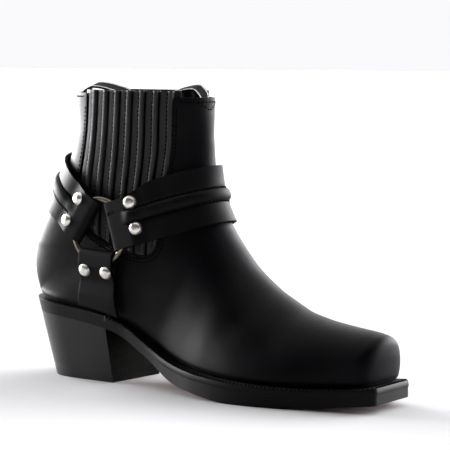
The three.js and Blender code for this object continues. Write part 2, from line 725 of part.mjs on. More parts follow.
const rivetHole = (seat) =>
  solid(
    turnedLathe(
      [
        [0, -WIRE * 2],
        [SHANK / 2 + GAP, -WIRE * 2],
        [SHANK / 2 + GAP, WIRE],
        [0, WIRE],
      ],
      seat,
      7,
    ),
  );

const rivetGeometry = (seat) =>
  turnedLathe(
    [
      [0, -STRAP_THICKNESS],
      [SHANK / 2, -STRAP_THICKNESS],
      [SHANK / 2, GAP],
      [RIVET / 2, GAP],
      [RIVET * 0.4, GAP + RIVET_HEIGHT * 0.6],
      [0, GAP + RIVET_HEIGHT],
    ],
    seat,
    8,
  );

// Cuts the ring's room and the rivets' holes at a strap's end.
function finishEnd(strap, end) {
  let made = strap.subtract(pocketSolid(end)).subtract(solid(ringGeometry(end.ring, GAP)));
  for (const seat of rivetSeats(end)) made = made.subtract(rivetHole(seat));
  return made;
}

const ACROSS = [-1, -0.6, -0.225, -0.12, 0, 0.12, 0.225, 0.6, 1]; // shares of the half width

// A strap from ring to ring round the ankle, by the front or by the back.
function makeAnkleStrap(strap) {
  const a = radians(strap.degrees);
  const ahead = new THREE.Vector3(Math.cos(a), 0, Math.sin(a));
  const upward = new THREE.Vector3(-Math.sin(a), 0, Math.cos(a)).multiplyScalar(Math.sign(Math.cos(a)));
  const middle = new THREE.Vector3(RING_X, 0, RING_Z).addScaledVector(upward, strap.shift);
  const aim = (angle) => ahead.clone().multiplyScalar(Math.cos(angle)).add(new THREE.Vector3(0, Math.sin(angle), 0));
  const line = (over, angle) => cast(middle.clone().addScaledVector(upward, over), aim(angle));
  const start = Math.atan2(SHAFT_WIDTH / 2, FOLD_REACH);
  const fine = 80;
  const angles = Array.from({ length: fine + 1 }, (_, k) => lerp(-start, start, k / fine));
  const spots = angles.map((angle) => line(0, angle).point);
  const run = [0];
  for (let i = 1; i <= fine; i++) run.push(run[i - 1] + spots[i].distanceTo(spots[i - 1]));
  const total = run[fine];
  const angleAt = (at) => {
    let i = 0;
    while (i < fine - 1 && run[i + 1] < at) i++;
    return lerp(angles[i], angles[i + 1], (at - run[i]) / (run[i + 1] - run[i]));
  };
  const ends = { outer: strapEnd(RINGS.outer, strap), inner: strapEnd(RINGS.inner, strap) };
  const near = endRuns(ends.outer);
  const free = LAP + 14;
  const inner = 8;
  const runs = [
    ...near,
    ...Array.from({ length: inner }, (_, i) => lerp(free, total - free, i / (inner - 1))),
    ...near.map((r) => total - r).reverse(),
  ];
  const grid = runs.map((at) => {
    const end = at < total / 2 ? ends.outer : ends.inner;
    const from = Math.min(at, total - at);
    return ACROSS.map((share) => {
      const ribbed = Math.abs(share) < 0.3;
      const over = ribbed ? (share / 0.225) * (RIB_WIDTH / 2) : Math.abs(share) * edgeOf(end, from, Math.sign(share));
      return strapFaces(end, from, Math.sign(Math.cos(a)) * over, line(over, angleAt(at)), total);
    });
  });
  return finishEnd(finishEnd(padded(grid), ends.outer), ends.inner);
}

// The strap from a ring down the side to the welt.
function makeLowerStrap(ring) {
  const end = strapEnd(ring, STRAPS.lower);
  const reach = (over) => {
    const x = RING_X + over - Math.tan(radians(LOWER_TILT)) * (RING_Z - SEAT_HEIGHT);
    return RING_Z - LOWER_REACH - soleTop(x) - GAP;
  };
  const runs = [...endRuns(end).filter((run) => run < LAP + 2), reach(0) - 6, reach(0) - 2.5, reach(0)];
  const grid = runs.map((middle) =>
    [-1, -0.5, 0, 0.5, 1].map((hand) => {
      const over = Math.abs(hand) * edgeOf(end, middle, Math.sign(hand));
      const run = lerp(middle, (middle * reach(over)) / reach(0), step(middle, LAP, reach(0)));
      const probe = atRing(end, run, over, 0);
      const face = onSide(ring.side, probe.x, Math.max(probe.z, soleTop(probe.x) + WELT_THICKNESS));
      const faces = strapFaces(end, run, over, face, reach(over));
      for (const point of faces) point.z = Math.max(point.z, soleTop(point.x) + 2 * GAP);
      return faces;
    }),
  );
  return finishEnd(padded(grid), end);
}

// A pull loop of webbing in an upright plane: up the inside of the collar, over and back down.
// ahead is 1 at the front and -1 at the back, rise is how far the bow stands above the collar, and
// share is where it stands highest, as a share of its depth.
function makePullLoop(ahead, share, rise) {
  const turn = radians(LOOP_TURN);
  const tilt = radians(LOOP_TILT);
  const inwards = new THREE.Vector3(-Math.cos(turn), -Math.sin(turn), 0).multiplyScalar(ahead);
  const width = new THREE.Vector3(-inwards.y, inwards.x, -ahead * Math.tan(tilt)).setLength(WEB_WIDTH / 2);
  const rimZ = (ahead > 0 ? SECTION.headZ : SECTION.footZ)(LAST_ROW) * COLLAR_HEIGHT;
  const middle = ((SECTION.headX(LAST_ROW) + SECTION.footX(LAST_ROW)) / 2) * LENGTH;
  const reach = (over, drop) => {
    const from = new THREE.Vector3(middle, ahead * LOOP_SIDE, rimZ - drop).addScaledVector(width, over);
    from.z = rimZ - drop;
    return ahead * (cast(from, new THREE.Vector3(ahead, 0, 0)).point.x - width.x * over);
  };
  const drops = [2 * GAP, LOOP_DROP / 2, LOOP_DROP * 1.1];
  const wall = Math.min(...drops.flatMap((drop) => [-1, 0, 1].map((over) => reach(over, drop))));
  const seat = ahead * (wall - 1.3 * WALL - WEB_THICKNESS - GAP);
  const base = new THREE.Vector3(seat, ahead * LOOP_SIDE, rimZ);
  const at = (depth, height) =>
    base.clone().addScaledVector(inwards, depth * LOOP_DEPTH).add(new THREE.Vector3(0, 0, height));
  const path = new THREE.CatmullRomCurve3(
    [
      at(0.03, -LOOP_DROP),
      at(0.01, -LOOP_DROP * 0.45),
      at(0, 0),
      at(share * 0.45, rise * 0.75),
      at(share, rise),
      at((1 + share) / 2, rise * 0.6),
      at(1, -rise * 0.4),
      at(0.8, -LOOP_DROP * 0.62),
      at(0.2, -LOOP_DROP * 1.08),
    ],
  );
  const steps = 26;
  const mesher = new Mesher();
  const rows = path.getSpacedPoints(steps).map((p, i) => {
    const tangent = path.getTangentAt(i / steps);
    const thick = new THREE.Vector3().crossVectors(tangent, width).setLength(WEB_THICKNESS / 2);
    return [
      p.clone().add(width).add(thick),
      p.clone().add(width).sub(thick),
      p.clone().sub(width).sub(thick),
      p.clone().sub(width).add(thick),
    ].map((q) => mesher.add(q));
  });
  for (let i = 1; i < rows.length; i++)
    for (let k = 0; k < 4; k++) mesher.quad(rows[i - 1][k], rows[i - 1][(k + 1) % 4], rows[i][(k + 1) % 4], rows[i][k]);
  mesher.quad(...[...rows[0]].reverse());
  mesher.quad(...rows[rows.length - 1]);
  return solid(mesher.geometry());
}

function ringGeometry(ring, room = 0) {
  const made = new THREE.TorusGeometry(RING_RADIUS, WIRE / 2 + room, 6, 20);
  made.applyMatrix4(new THREE.Matrix4().makeBasis(ring.along, ring.up, ring.out.clone().multiplyScalar(ring.side < 0 ? 1 : -1)));
  made.translate(...ring.centre.toArray());
  return made;
}

const finish = (color, roughness, metalness = 0) => new THREE.MeshStandardMaterial({ color, roughness, metalness });
const MATERIALS = {
  leather: finish(0x1b1b1d, 0.55),
  strap: finish(0x1e1e20, 0.5),
  edge: finish(0x26262a, 0.4),
  rubber: finish(0x202022, 0.7),
  lining: finish(0x2c2622, 0.8),
  webbing: finish(0x151516, 0.85),
  nickel: finish(0xd8d2c4, 0.2, 1),
};

const boot = new THREE.Group();
boot.name = "harness_boot";

function addPiece(name, shape, material) {
  const geometry = shape.isBufferGeometry ? shape : geometryOf(shape);
  const mesh = new THREE.Mesh(geometry, material);
  mesh.name = name;
  boot.add(mesh);
}

addPiece("outsole", makeOutsole(), MATERIALS.edge);
addPiece("welt", makeWelt(), MATERIALS.edge);
addPiece("heel_block", makeHeelBlock(), MATERIALS.edge);
addPiece("heel_lift", makeHeelLift(), MATERIALS.rubber);
addPiece("insole", makeInsole(), MATERIALS.lining);
addPiece(
  "upper",
  makeUpperShell().subtract(gussetPrism(-1, 0)).subtract(gussetPrism(1, 0)),
  MATERIALS.leather,
);
addPiece("gusset_outer", makeGusset(-1), MATERIALS.leather);
addPiece("gusset_inner", makeGusset(1), MATERIALS.leather);
addPiece("strap_front", makeAnkleStrap(STRAPS.front), MATERIALS.strap);
addPiece("strap_back", makeAnkleStrap(STRAPS.back), MATERIALS.strap);
for (const [where, ring] of Object.entries(RINGS)) {
  addPiece(`strap_lower_${where}`, makeLowerStrap(ring), MATERIALS.strap);
  addPiece(`ring_${where}`, ringGeometry(ring), MATERIALS.nickel);
  for (const [name, strap] of Object.entries(STRAPS))
    rivetSeats(strapEnd(ring, strap)).forEach((seat, i) =>
      addPiece(`rivet_${name}_${where}_${i + 1}`, rivetGeometry(seat), MATERIALS.nickel),
    );
}
addPiece("pull_loop_back", makePullLoop(-1, 0.28, BACK_LOOP_RISE), MATERIALS.webbing);
addPiece("pull_loop_front", makePullLoop(1, 0.22, FRONT_LOOP_RISE), MATERIALS.webbing);

// The origin lies on the floor under the middle of the boot.
const box = new THREE.Box3().setFromObject(boot);
boot.position.set(-(box.min.x + box.max.x) / 2, -(box.min.y + box.max.y) / 2, -box.min.z);

export default boot;
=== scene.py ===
# Square-toed harness ankle boot: the finished leather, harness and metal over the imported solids.
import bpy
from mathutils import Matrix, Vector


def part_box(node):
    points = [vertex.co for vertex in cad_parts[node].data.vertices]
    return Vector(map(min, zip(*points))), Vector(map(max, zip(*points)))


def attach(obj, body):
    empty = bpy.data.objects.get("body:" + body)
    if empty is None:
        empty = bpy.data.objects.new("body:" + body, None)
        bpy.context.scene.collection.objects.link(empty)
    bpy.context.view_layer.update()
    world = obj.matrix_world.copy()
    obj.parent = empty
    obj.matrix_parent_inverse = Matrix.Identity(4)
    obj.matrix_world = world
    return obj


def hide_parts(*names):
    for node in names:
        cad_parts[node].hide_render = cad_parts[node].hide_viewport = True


bl_info = {
    "name": "Harness Ankle Boot",
    "version": (1, 0, 0),
    "blender": (4, 5, 0),
    "location": "View3D > Sidebar > Boot",
    "description": "Builds a harness ankle boot with pleated side panels and riveted straps",
    "category": "Add Mesh",
}

import math

import bmesh
import bpy
from bpy.props import FloatProperty, FloatVectorProperty, PointerProperty
from mathutils import Matrix, Vector
from mathutils.bvhtree import BVHTree
from mathutils.interpolate import poly_3d_calc
from mathutils.kdtree import KDTree

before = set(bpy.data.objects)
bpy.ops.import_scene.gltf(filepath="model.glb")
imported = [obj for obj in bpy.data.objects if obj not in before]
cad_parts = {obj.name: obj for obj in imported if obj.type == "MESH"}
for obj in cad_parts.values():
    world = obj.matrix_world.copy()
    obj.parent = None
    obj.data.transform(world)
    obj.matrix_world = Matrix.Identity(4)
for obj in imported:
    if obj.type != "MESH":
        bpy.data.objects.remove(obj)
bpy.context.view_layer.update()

# The boot's own measures, in millimetres from the back of the outsole, as in the solids
MM = 0.001
MERGE = 1e-6
LENGTH = 308.0
SOLE_WIDTH = 96.0
SEAT_HEIGHT = 56.5
WELT_THICKNESS = 4.2
WELT_LEDGE = 7.5
WELT_START = 80.0
HEEL_CURVE = 34.0
HEEL_ROUND = 2.2
TOE_CORNER = 3.5
TOE_SLANT = 2.5
HEEL_RAKE = 17.0
HEEL_BREAST = 79.0
BREAST_RAKE = 7.5
HEEL_TAPER = 4.0
LIFT_THICKNESS = 8.0
INSOLE_THICKNESS = 3.0
INSOLE_BACK = 6.5
INSOLE_ROOM = 1.5
FILLING = 2.0
COLLAR_HEIGHT = 209.5
SHAFT_WIDTH = 62.0
WALL = 2.2
FLARE = 2.5
GAP = 0.3
GUSSET_RIDGE = 0.8
GUSSET_VALLEY = 1.3
GUSSET_RISE = 2.0
PLEATS = 7
RING_RADIUS = 23.0
WIRE = 4.0
RING_X = 79.0
RING_Z = 110.0
STRAP_WIDTH = 42.0
BACK_WIDTH = 36.0
FOLD_WIDTH = 35.0
STRAP_THICKNESS = 2.0
FRONT_STAND = 1.2
BACK_STAND = 0.8
LOWER_STAND = 2.0
FOLD_REACH = 10.0
LOWER_REACH = 13.2
FRONT_SHIFT = 3.2
POCKET = 15.6
LAP = 31.0
RIB_WIDTH = 9.0
RIB_HEIGHT = 2.6
FRONT_RISE = 17.2
BACK_RISE = 33.0
LOWER_TILT = 3.0
RIVET = 9.6
RIVET_HEIGHT = 2.8
RIVET_SPREAD = 19.0
FRONT_RIVETS = 24.0
BACK_RIVETS = 17.5
LOWER_RIVETS = 16.0
LOWER_TOP = 30.0
LOWER_BOTTOM = 35.0
WEB_WIDTH = 16.0
WEB_THICKNESS = 1.4
LOOP_DEPTH = 33.0
FRONT_LOOP_RISE = 7.0
BACK_LOOP_RISE = 5.2
FRONT_LOOP_LEAN = 0.22
BACK_LOOP_LEAN = 0.28
LOOP_DROP = 28.0
LOOP_TURN = 15.0
LOOP_TILT = 12.0
LOOP_SIDE = 5.0

# The photograph's camera, in the boot's own millimetres and in degrees
CAMERA_AT = (1013.7, -1125.0, 232.9)
CAMERA_AZIMUTH = 37.0
CAMERA_PITCH = 4.7
CAMERA_ROLL = 0.3
CAMERA_LENS = 160.0
SENSOR = 36.0

# Lights: turns in degrees from the view's middle, spreads as the cosines where a light starts and is full
ROOM_LIGHT = 0.05
BACKDROP_LIGHT = 0.97
BACKDROP_SPREAD = (0.1, 0.9)
BACKDROP_COLOUR = (0.985, 0.98, 1.0)
LEFT_LIGHT = 42.0
LEFT_TURN = 48.0
LEFT_SPREAD = (0.8, 0.98)
RIGHT_LIGHT = 16.0
RIGHT_TURN = 64.0
RIGHT_SPREAD = (0.62, 0.97)
SKY_LIGHT = 3.0
SKY_FROM = (-0.1, 0.45, 1.0)
SKY_WIDTH = 108.0

# Leather: its usual shine, the glow along its edges, and a paler patch mixed into the colour low on the
# vamp's outer side
LEATHER_GLOSS = 0.05
EDGE_GLOW = 0.02
HAZE_AT = (114.0, -36.0, 66.0)
HAZE = 0.4
HAZE_REACH = (0.006, 0.038)

# Where the upper's foot beside the welt is painted black as shade, as shares across and along its sheet
FOOT_SHADE_ACROSS = (0.484, 0.492)
FOOT_SHADE_ALONG = 0.56

# Seams: how far they lie from the side opening, from the collar's rim and from a rib's middle
OPENING_SEAM = 1.8
OPENING_SEAM_TOP = 0.955  # share of the collar's height
FOOT_SEAM = 4.4
FOOT_SEAM_TOP = 0.6
COLLAR_SEAM = 3.0
RIB_SEAM = 5.3
RIB_SEAM_START = 17.0
WELT_SEAM = 0.2  # share of the ledge
WELT_MARK = (2.1, 3.0)  # length and width


# Curves and tables shared with the solids

def smooth_curve(at, value):
    """A smooth curve through the points at[i], value[i]."""
    last = len(at) - 1
    slope = []
    for i in range(len(at)):
        a, b = max(i - 1, 0), min(i + 1, last)
        slope.append((value[b] - value[a]) / (at[b] - at[a]))

    def curve(x):
        i = 0
        while i < last - 1 and x > at[i + 1]:
            i += 1
        h = at[i + 1] - at[i]
        t = (x - at[i]) / h
        rise = value[i + 1] - value[i]
        bend = h * (slope[i] + slope[i + 1]) - 2 * rise
        return value[i] + t * (h * slope[i] + t * (rise - h * slope[i] - bend * (1 - t)))

    return curve


def columns(names, rows, keyed):
    at = [row[0] if keyed else i for i, row in enumerate(rows)]
    return {name: smooth_curve(at, [row[k] for row in rows]) for k, name in enumerate(names)}


def clamp(x, low=0.0, high=1.0):
    return max(low, min(high, x))


def lerp(a, b, t):
    return a + (b - a) * t


def step(x, start, end):
    t = clamp((x - start) / (end - start))
    return t * t * (3 - 2 * t)


SOLE = columns(
    ["along", "outer", "inner", "top", "under", "ledge"],
    [
        [0, 0.325, 0.325, 1.02, 0.84, 0.4],
        [0.13, 0.335, 0.335, 0.945, 0.787, 0.4],
        [0.26, 0.335, 0.3, 0.86, 0.69, 0.5],
        [0.33, 0.33, 0.255, 0.73, 0.565, 0.8],
        [0.405, 0.355, 0.25, 0.525, 0.36, 0.95],
        [0.48, 0.415, 0.305, 0.375, 0.15, 1],
        [0.565, 0.485, 0.395, 0.3, 0.06, 1],
        [0.66, 0.515, 0.475, 0.258, 0.0, 1],
        [0.76, 0.475, 0.485, 0.237, -0.012, 1],
        [0.865, 0.375, 0.405, 0.245, 0.03, 1],
        [0.945, 0.3, 0.325, 0.276, 0.073, 1],
        [1, 0.245, 0.255, 0.313, 0.108, 1.05],
    ],
    True,
)
SEAT_ROW = 15
SECTION_ROWS = [
    [0.937, 0.08, 0.975, 0.084, 0.3, 0.35, 6, 8, 0.01],
    [0.93, 0.08, 0.984, 0.131, 0.3, 0.35, 6, 8, 0.01],
    [0.921, 0.08, 0.989, 0.183, 0.3, 0.345, 5.5, 8, 0.01],
    [0.907, 0.08, 0.984, 0.228, 0.3, 0.34, 5, 8, 0.01],
    [0.887, 0.08, 0.956, 0.245, 0.3, 0.36, 4, 8, 0.01],
    [0.85, 0.07, 0.895, 0.256, 0.3, 0.41, 3.2, 8, 0.015],
    [0.795, 0.07, 0.824, 0.27, 0.32, 0.49, 2.8, 8, 0.025],
    [0.732, 0.07, 0.757, 0.295, 0.34, 0.55, 2.5, 8, 0.04],
    [0.659, 0.07, 0.69, 0.343, 0.36, 0.56, 2.6, 8, 0.05],
    [0.58, 0.08, 0.63, 0.403, 0.4, 0.53, 3, 8, 0.05],
    [0.49, 0.1, 0.584, 0.475, 0.44, 0.48, 3.6, 8, 0.04],
    [0.391, 0.16, 0.547, 0.55, 0.47, 0.45, 4.2, 8, 0.03],
    [0.285, 0.22, 0.521, 0.624, 0.485, 0.435, 4.6, 8, 0.015],
    [0.176, 0.25, 0.508, 0.696, 0.49, 0.425, 5, 8.5, 0],
    [0.08, 0.27, 0.502, 0.757, 0.495, 0.42, 5, 10.5, 0],
    [0.0098, 0.276, 0.4995, 0.8, 0.505, 0.42, 5, 12.5, 0],
    [-0.0115, 0.353, 0.4985, 0.833, 0.51, 0.42, 5, 11.5, 0],
    [-0.0085, 0.43, 0.497, 0.861, 0.505, 0.42, 5, 10, 0],
    [0.0095, 0.511, 0.4965, 0.886, 0.5, 0.42, 5, 8.5, 0],
    [0.0405, 0.597, 0.496, 0.906, 0.49, 0.425, 5, 7.5, 0],
    [0.0744, 0.692, 0.4955, 0.928, 0.485, 0.43, 5, 6.5, 0],
    [0.1, 0.79, 0.4945, 0.948, 0.485, 0.435, 5, 5.8, 0],
    [0.1125, 0.885, 0.4945, 0.966, 0.485, 0.44, 5, 5.3, 0],
    [0.1115, 1, 0.4945, 0.986, 0.485, 0.44, 5, 5, 0],
]
SECTION = columns(
    ["footX", "footZ", "headX", "headZ", "rear", "fore", "round", "back", "ridge"],
    SECTION_ROWS,
    False,
)
LAST_ROW = len(SECTION_ROWS) - 1
GUSSET_EDGE = [
    (0.191, 1.06),
    (0.184, 0.84),
    (0.172, 0.68),
    (0.178, 0.57),
    (0.235, 0.5),
    (0.32, 0.457),
    (0.375, 0.448),
    (0.403, 0.476),
    (0.413, 0.55),
    (0.42, 0.68),
    (0.434, 0.84),
    (0.444, 1.06),
]


def ledge(x):
    return SOLE["ledge"](x / LENGTH) * WELT_LEDGE


def sole_top(x):
    return SOLE["top"](x / LENGTH) * SEAT_HEIGHT


def sole_under(x):
    return max(0.0, SOLE["under"](x / LENGTH) * SEAT_HEIGHT)


def outline(side, x, inset):
    """Half width of the bottom's outline at x, taken in by inset. side is -1 outside and 1 inside."""
    full = SOLE["outer" if side < 0 else "inner"](x / LENGTH) * SOLE_WIDTH - inset
    heel = clamp((x - inset) / (HEEL_CURVE - inset))
    toe = clamp((LENGTH - inset - x) / TOE_CORNER)
    round_heel = (1 - (1 - heel) ** HEEL_ROUND) ** (1 / HEEL_ROUND)
    return full * round_heel - TOE_CORNER * (1 - math.sqrt(1 - (1 - toe) ** 2))


def edge_point(side, x, inset, z):
    """A point of the bottom's edge at height z, with the slope of the heel's back, sides and breast."""
    down = 1 - z / SEAT_HEIGHT
    fade = 1 - step(x, HEEL_BREAST, HEEL_BREAST + HEEL_CURVE)
    ahead = lerp(HEEL_RAKE, BREAST_RAKE, clamp(x / HEEL_BREAST))
    half = max(0.0, outline(side, x, inset))
    full = max(half, outline(side, HEEL_CURVE, inset))
    taken = HEEL_TAPER * down * fade * half / full
    slant = TOE_SLANT * step(x, 0.9 * LENGTH, LENGTH) if side > 0 else 0.0
    return Vector((x + ahead * down * fade - slant, side * (half - taken), z))


# Own millimetres to the row's frame
_sole_low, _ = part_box("outsole")
_lift_low, _lift_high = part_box("heel_lift")
SHIFT = Vector((
    _sole_low[0] / MM - HEEL_RAKE * (1 - sole_top(0) / SEAT_HEIGHT),
    (_lift_low[1] + _lift_high[1]) / 2 / MM,
    0.0,
))


def metres(point):
    return (point + SHIFT) * MM


# The upper's face

def section_point(t, side, share):
    """One half of the section at row t, from its foot (share 0) to its head (share 1)."""
    x0 = SECTION["footX"](t) * LENGTH
    x1 = SECTION["headX"](t) * LENGTH
    closed = t >= SEAT_ROW
    z0 = SECTION["footZ"](t) * COLLAR_HEIGHT if closed else sole_top(x0) + GAP
    z1 = SECTION["headZ"](t) * COLLAR_HEIGHT
    edge = 0.0 if closed else outline(side, x0, ledge(x0))
    rear = max(SECTION["rear"](t) * SHAFT_WIDTH, edge + FLARE)
    fore = SECTION["fore"](t) * SHAFT_WIDTH
    back = SECTION["back"](t)
    shut = (1 - (edge / rear) ** 2) ** (1 / back)
    head = 1 - share ** SECTION["round"](t)
    foot = 1 - (shut * (1 - share)) ** back
    ends = math.sqrt(max(0.0, head * foot))
    y = SECTION["ridge"](t) * SHAFT_WIDTH * share + side * lerp(rear, fore, share) * ends
    return Vector((lerp(x0, x1, share), y, lerp(z0, z1, share)))


def run_along(points):
    """How far each point lies along the line through them."""
    run = [0.0]
    for a, b in zip(points, points[1:]):
        run.append(run[-1] + (b - a).length)
    return run


def spread(points, count, crowding=1.0):
    """A polyline of count + 1 points along a longer one."""
    run = run_along(points)
    made, i = [], 0
    for k in range(count + 1):
        at = run[-1] * (k / count) ** crowding
        while i < len(points) - 2 and run[i + 1] < at:
            i += 1
        share = (at - run[i]) / ((run[i + 1] - run[i]) or 1.0)
        made.append(points[i].lerp(points[i + 1], min(1.0, share)))
    return made


def section(t, across):
    """The whole section at row t: inner lower edge, over the head, outer lower edge."""
    fine = 90
    halves = []
    for side in (1, -1):
        points = [section_point(t, side, (1 - math.cos(math.pi * k / fine)) / 2) for k in range(fine + 1)]
        halves.append(spread(points, across // 2, 1.15))
    return halves[0] + halves[1][::-1][1:]


SHAFT_STEPS = 78
UPPER_ACROSS = 172


def upper_rows():
    """The numbers of the fine sections, denser where they turn round the heel."""
    front = [14 * i / 112 for i in range(112)]
    heel = [SEAT_ROW - (1 - i / 14) ** 1.7 for i in range(14)]
    shaft = [lerp(SEAT_ROW, LAST_ROW, i / SHAFT_STEPS) for i in range(SHAFT_STEPS + 1)]
    return front + heel + shaft


ROWS_OF_UPPER = upper_rows()
UPPER_GRID = [section(t, UPPER_ACROSS) for t in ROWS_OF_UPPER]


class Face:
    """The upper's outer face, which everything on it is laid against."""

    def __init__(self, grid):
        self.points = [p for row in grid for p in row]
        wide = len(grid[0])
        self.quads = []
        for j in range(1, len(grid)):
            for i in range(1, wide):
                a, b = (j - 1) * wide + i - 1, (j - 1) * wide + i
                self.quads.append((a, b, b + wide, a + wide))
        self.tree = BVHTree.FromPolygons(self.points, self.quads)
        self.normals = [Vector() for _ in self.points]
        for quad in self.quads:
            a, b, c, d = (self.points[k] for k in quad)
            normal = (c - a).cross(d - b)
            for k in quad:
                self.normals[k] += normal
        crest = wide * (len(grid) // 3) + wide // 2
        turn = -1 if self.normals[crest].z < 0 else 1
        self.normals = [(n * turn).normalized() if n.length > 0 else n for n in self.normals]

    def cast(self, start, towards):
        """Where a ray from inside leaves the upper, with the face's outward normal there."""
        at, flat, index, _ = self.tree.ray_cast(start, towards.normalized())
        if at is None:
            return None, None
        quad = self.quads[index]
        weights = poly_3d_calc([self.points[k] for k in quad], at)
        normal = Vector()
        for k, weight in zip(quad, weights):
            normal += self.normals[k] * weight
        if normal.length < 0.5:
            normal = flat.copy()
        normal.normalize()
        if normal.dot(towards) < 0:
            normal.negate()
        return at, normal


FACE = Face(UPPER_GRID)


def on_side(side, x, z):
    """The point of the upper's side at x and z, and the normal there."""
    return FACE.cast(Vector((x, 0, z)), Vector((0, side, 0)))


# Making pieces

def finish_mesh(bm, name, materials, node_names, sharp=60.0):
    """A smooth shaded piece from a bmesh, riding on the boot and standing for CAD nodes."""
    mesh = bpy.data.meshes.new(name)
    bm.to_mesh(mesh)
    bm.free()
    for layer in materials:
        mesh.materials.append(layer)
    mesh.shade_smooth()
    mesh.set_sharp_from_angle(angle=math.radians(sharp))
    made = bpy.data.objects.new(name, mesh)
    bpy.context.scene.collection.objects.link(made)
    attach(made, "root")
    if node_names:
        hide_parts(*node_names)
    return made


def grid_sheet(rows):
    """A sheet of quads through rows of points, with a UV map that runs from 0 to 1 both ways."""
    bm = bmesh.new()
    bm.loops.layers.uv.new("UVMap")
    across, along = len(rows[0]) - 1, len(rows) - 1
    bmesh.ops.create_grid(bm, x_segments=across, y_segments=along, size=1.0, calc_uvs=True)
    for vert in bm.verts:
        i = round((vert.co.x + 1) / 2 * across)
        j = round((vert.co.y + 1) / 2 * along)
        vert.co = metres(rows[j][i])
    return bm


def face_outwards(bm, probe, towards):
    """Turns an open sheet so that the face nearest to probe looks towards."""
    target = metres(probe)
    nearest = min(bm.faces, key=lambda f: (f.calc_center_median() - target).length_squared)
    nearest.normal_update()
    if nearest.normal.dot(towards) < 0:
        bmesh.ops.reverse_faces(bm, faces=bm.faces[:])


def add_wall(made, thickness, rim_material=0, inner_material=0):
    wall = made.modifiers.new("wall", "SOLIDIFY")
    wall.thickness = thickness * MM
    wall.offset = -1.0
    wall.use_even_offset = False
    wall.material_offset = inner_material
    wall.material_offset_rim = rim_material


def add_bevel(made, width, angle=60.0):
    bevel = made.modifiers.new("edges", "BEVEL")
    bevel.width = width * MM
    bevel.segments = 2
    bevel.limit_method = "ANGLE"
    bevel.angle_limit = math.radians(angle)
    bevel.harden_normals = False


def slab(places, over, under, inset=lambda x: 0.0):
    """A closed slab of the bottom's outline at places, between two heights that follow x."""
    bm = bmesh.new()
    bmesh.ops.create_grid(bm, x_segments=1, y_segments=len(places) - 1, size=1.0)
    spots = {}
    for vert in bm.verts:
        spots[vert] = (1 if vert.co.x > 0 else -1, places[round((vert.co.y + 1) / 2 * (len(places) - 1))])
    top = list(spots)
    made = bmesh.ops.extrude_face_region(bm, geom=bm.faces[:])
    bottom = [g for g in made["geom"] if isinstance(g, bmesh.types.BMVert)]
    pairs = {}
    for vert in bottom:
        pairs[vert] = min(top, key=lambda v: (v.co - vert.co).length_squared)
    for vert, twin in pairs.items():
        side, x = spots[twin]
        vert.co = metres(edge_point(side, x, inset(x), under(x)))
    for vert, (side, x) in spots.items():
        vert.co = metres(edge_point(side, x, inset(x), over(x)))
    bmesh.ops.remove_doubles(bm, verts=bm.verts[:], dist=MERGE)
    bmesh.ops.recalc_face_normals(bm, faces=bm.faces[:])
    return bm


# The bottom

def bottom_places(start, end, inset_start=0.0, inset_end=0.0):
    """Places along the bottom, close together at its round heel and its front corners."""
    first, last = max(start, inset_start), min(end, LENGTH - inset_end)
    places = [first]
    if first < HEEL_CURVE:
        places += [lerp(first, HEEL_CURVE, (k / 14) ** 2.4) for k in range(1, 14)]
    x = max(first, HEEL_CURVE)
    while x < last - TOE_CORNER - 2.5:
        places.append(x)
        x += 2.5
    if last > LENGTH - inset_end - 0.1:
        places += [last - TOE_CORNER * (1 - math.sin(math.pi / 2 * k / 6)) for k in range(6)]
    places.append(last)
    return sorted(set(round(place, 4) for place in places))


def build_outsole(black, tan):
    def top(x):
        return sole_top(x) - (0.0 if x < WELT_START else WELT_THICKNESS)

    ledge_step = [WELT_START - 0.05, WELT_START + 0.05]
    bm = slab(sorted(set(bottom_places(0.0, LENGTH) + ledge_step)), top, sole_under)
    for face in bm.faces:
        if face.normal.z < -0.6:
            face.material_index = 1
    made = finish_mesh(bm, "outsole_leather", [black, tan], ["outsole"], 30.0)
    add_bevel(made, 0.25, 40.0)


def build_heel(black, stack, tread):
    places = [place for place in bottom_places(0.0, HEEL_BREAST) if place < HEEL_BREAST - 0.5]
    places.append(HEEL_BREAST)
    block = slab(places, sole_under, lambda x: LIFT_THICKNESS)
    for face in block.faces:
        if face.normal.x > 0.8:
            face.material_index = 1
    made = finish_mesh(block, "heel_stack", [black, stack], ["heel_block"], 30.0)
    add_bevel(made, 0.35)
    lift = slab(places, lambda x: LIFT_THICKNESS, lambda x: 0.0)
    for face in lift.faces:
        if face.normal.z < -0.9:
            face.material_index = 1
        elif face.normal.x > 0.8:
            face.material_index = 2
    made = finish_mesh(lift, "heel_top_piece", [black, tread, stack], ["heel_lift"], 30.0)
    add_bevel(made, 0.4)


def welt_line(inset):
    """Points of the bottom's edge at inset(x), from outside the heel round the toe to its inner side."""
    shares = [k / 90 for k in range(89)]
    corner = TOE_CORNER / (LENGTH - WELT_START)
    shares += [1 - corner * (1 - math.sin(math.pi / 2 * k / 6)) for k in range(7)]
    line = []
    for side in (-1, 1):
        half = []
        for share in sorted(shares):
            x = lerp(WELT_START, LENGTH - inset(LENGTH), share)
            half.append(edge_point(side, x, inset(x), sole_top(x)))
        line += half if side < 0 else half[::-1]
    return line


def build_welt(top, black):
    """The band round the forefoot, its top grained and its rim inked like the sole's edge."""
    rim = welt_line(lambda x: 0.0)
    inner = welt_line(lambda x: ledge(x) + WALL + GAP)
    rows = [[a.lerp(b, k / 3) for k in range(4)] for a, b in zip(rim, inner)]
    bm = grid_sheet(rows)
    bmesh.ops.recalc_face_normals(bm, faces=bm.faces[:])
    bm.normal_update()
    if bm.faces[0].normal.z < 0:
        bmesh.ops.reverse_faces(bm, faces=bm.faces[:])
    made = finish_mesh(bm, "welt_band", [top, black], ["welt"], 30.0)
    add_wall(made, WELT_THICKNESS, 1, 1)
    add_bevel(made, 0.2, 40.0)


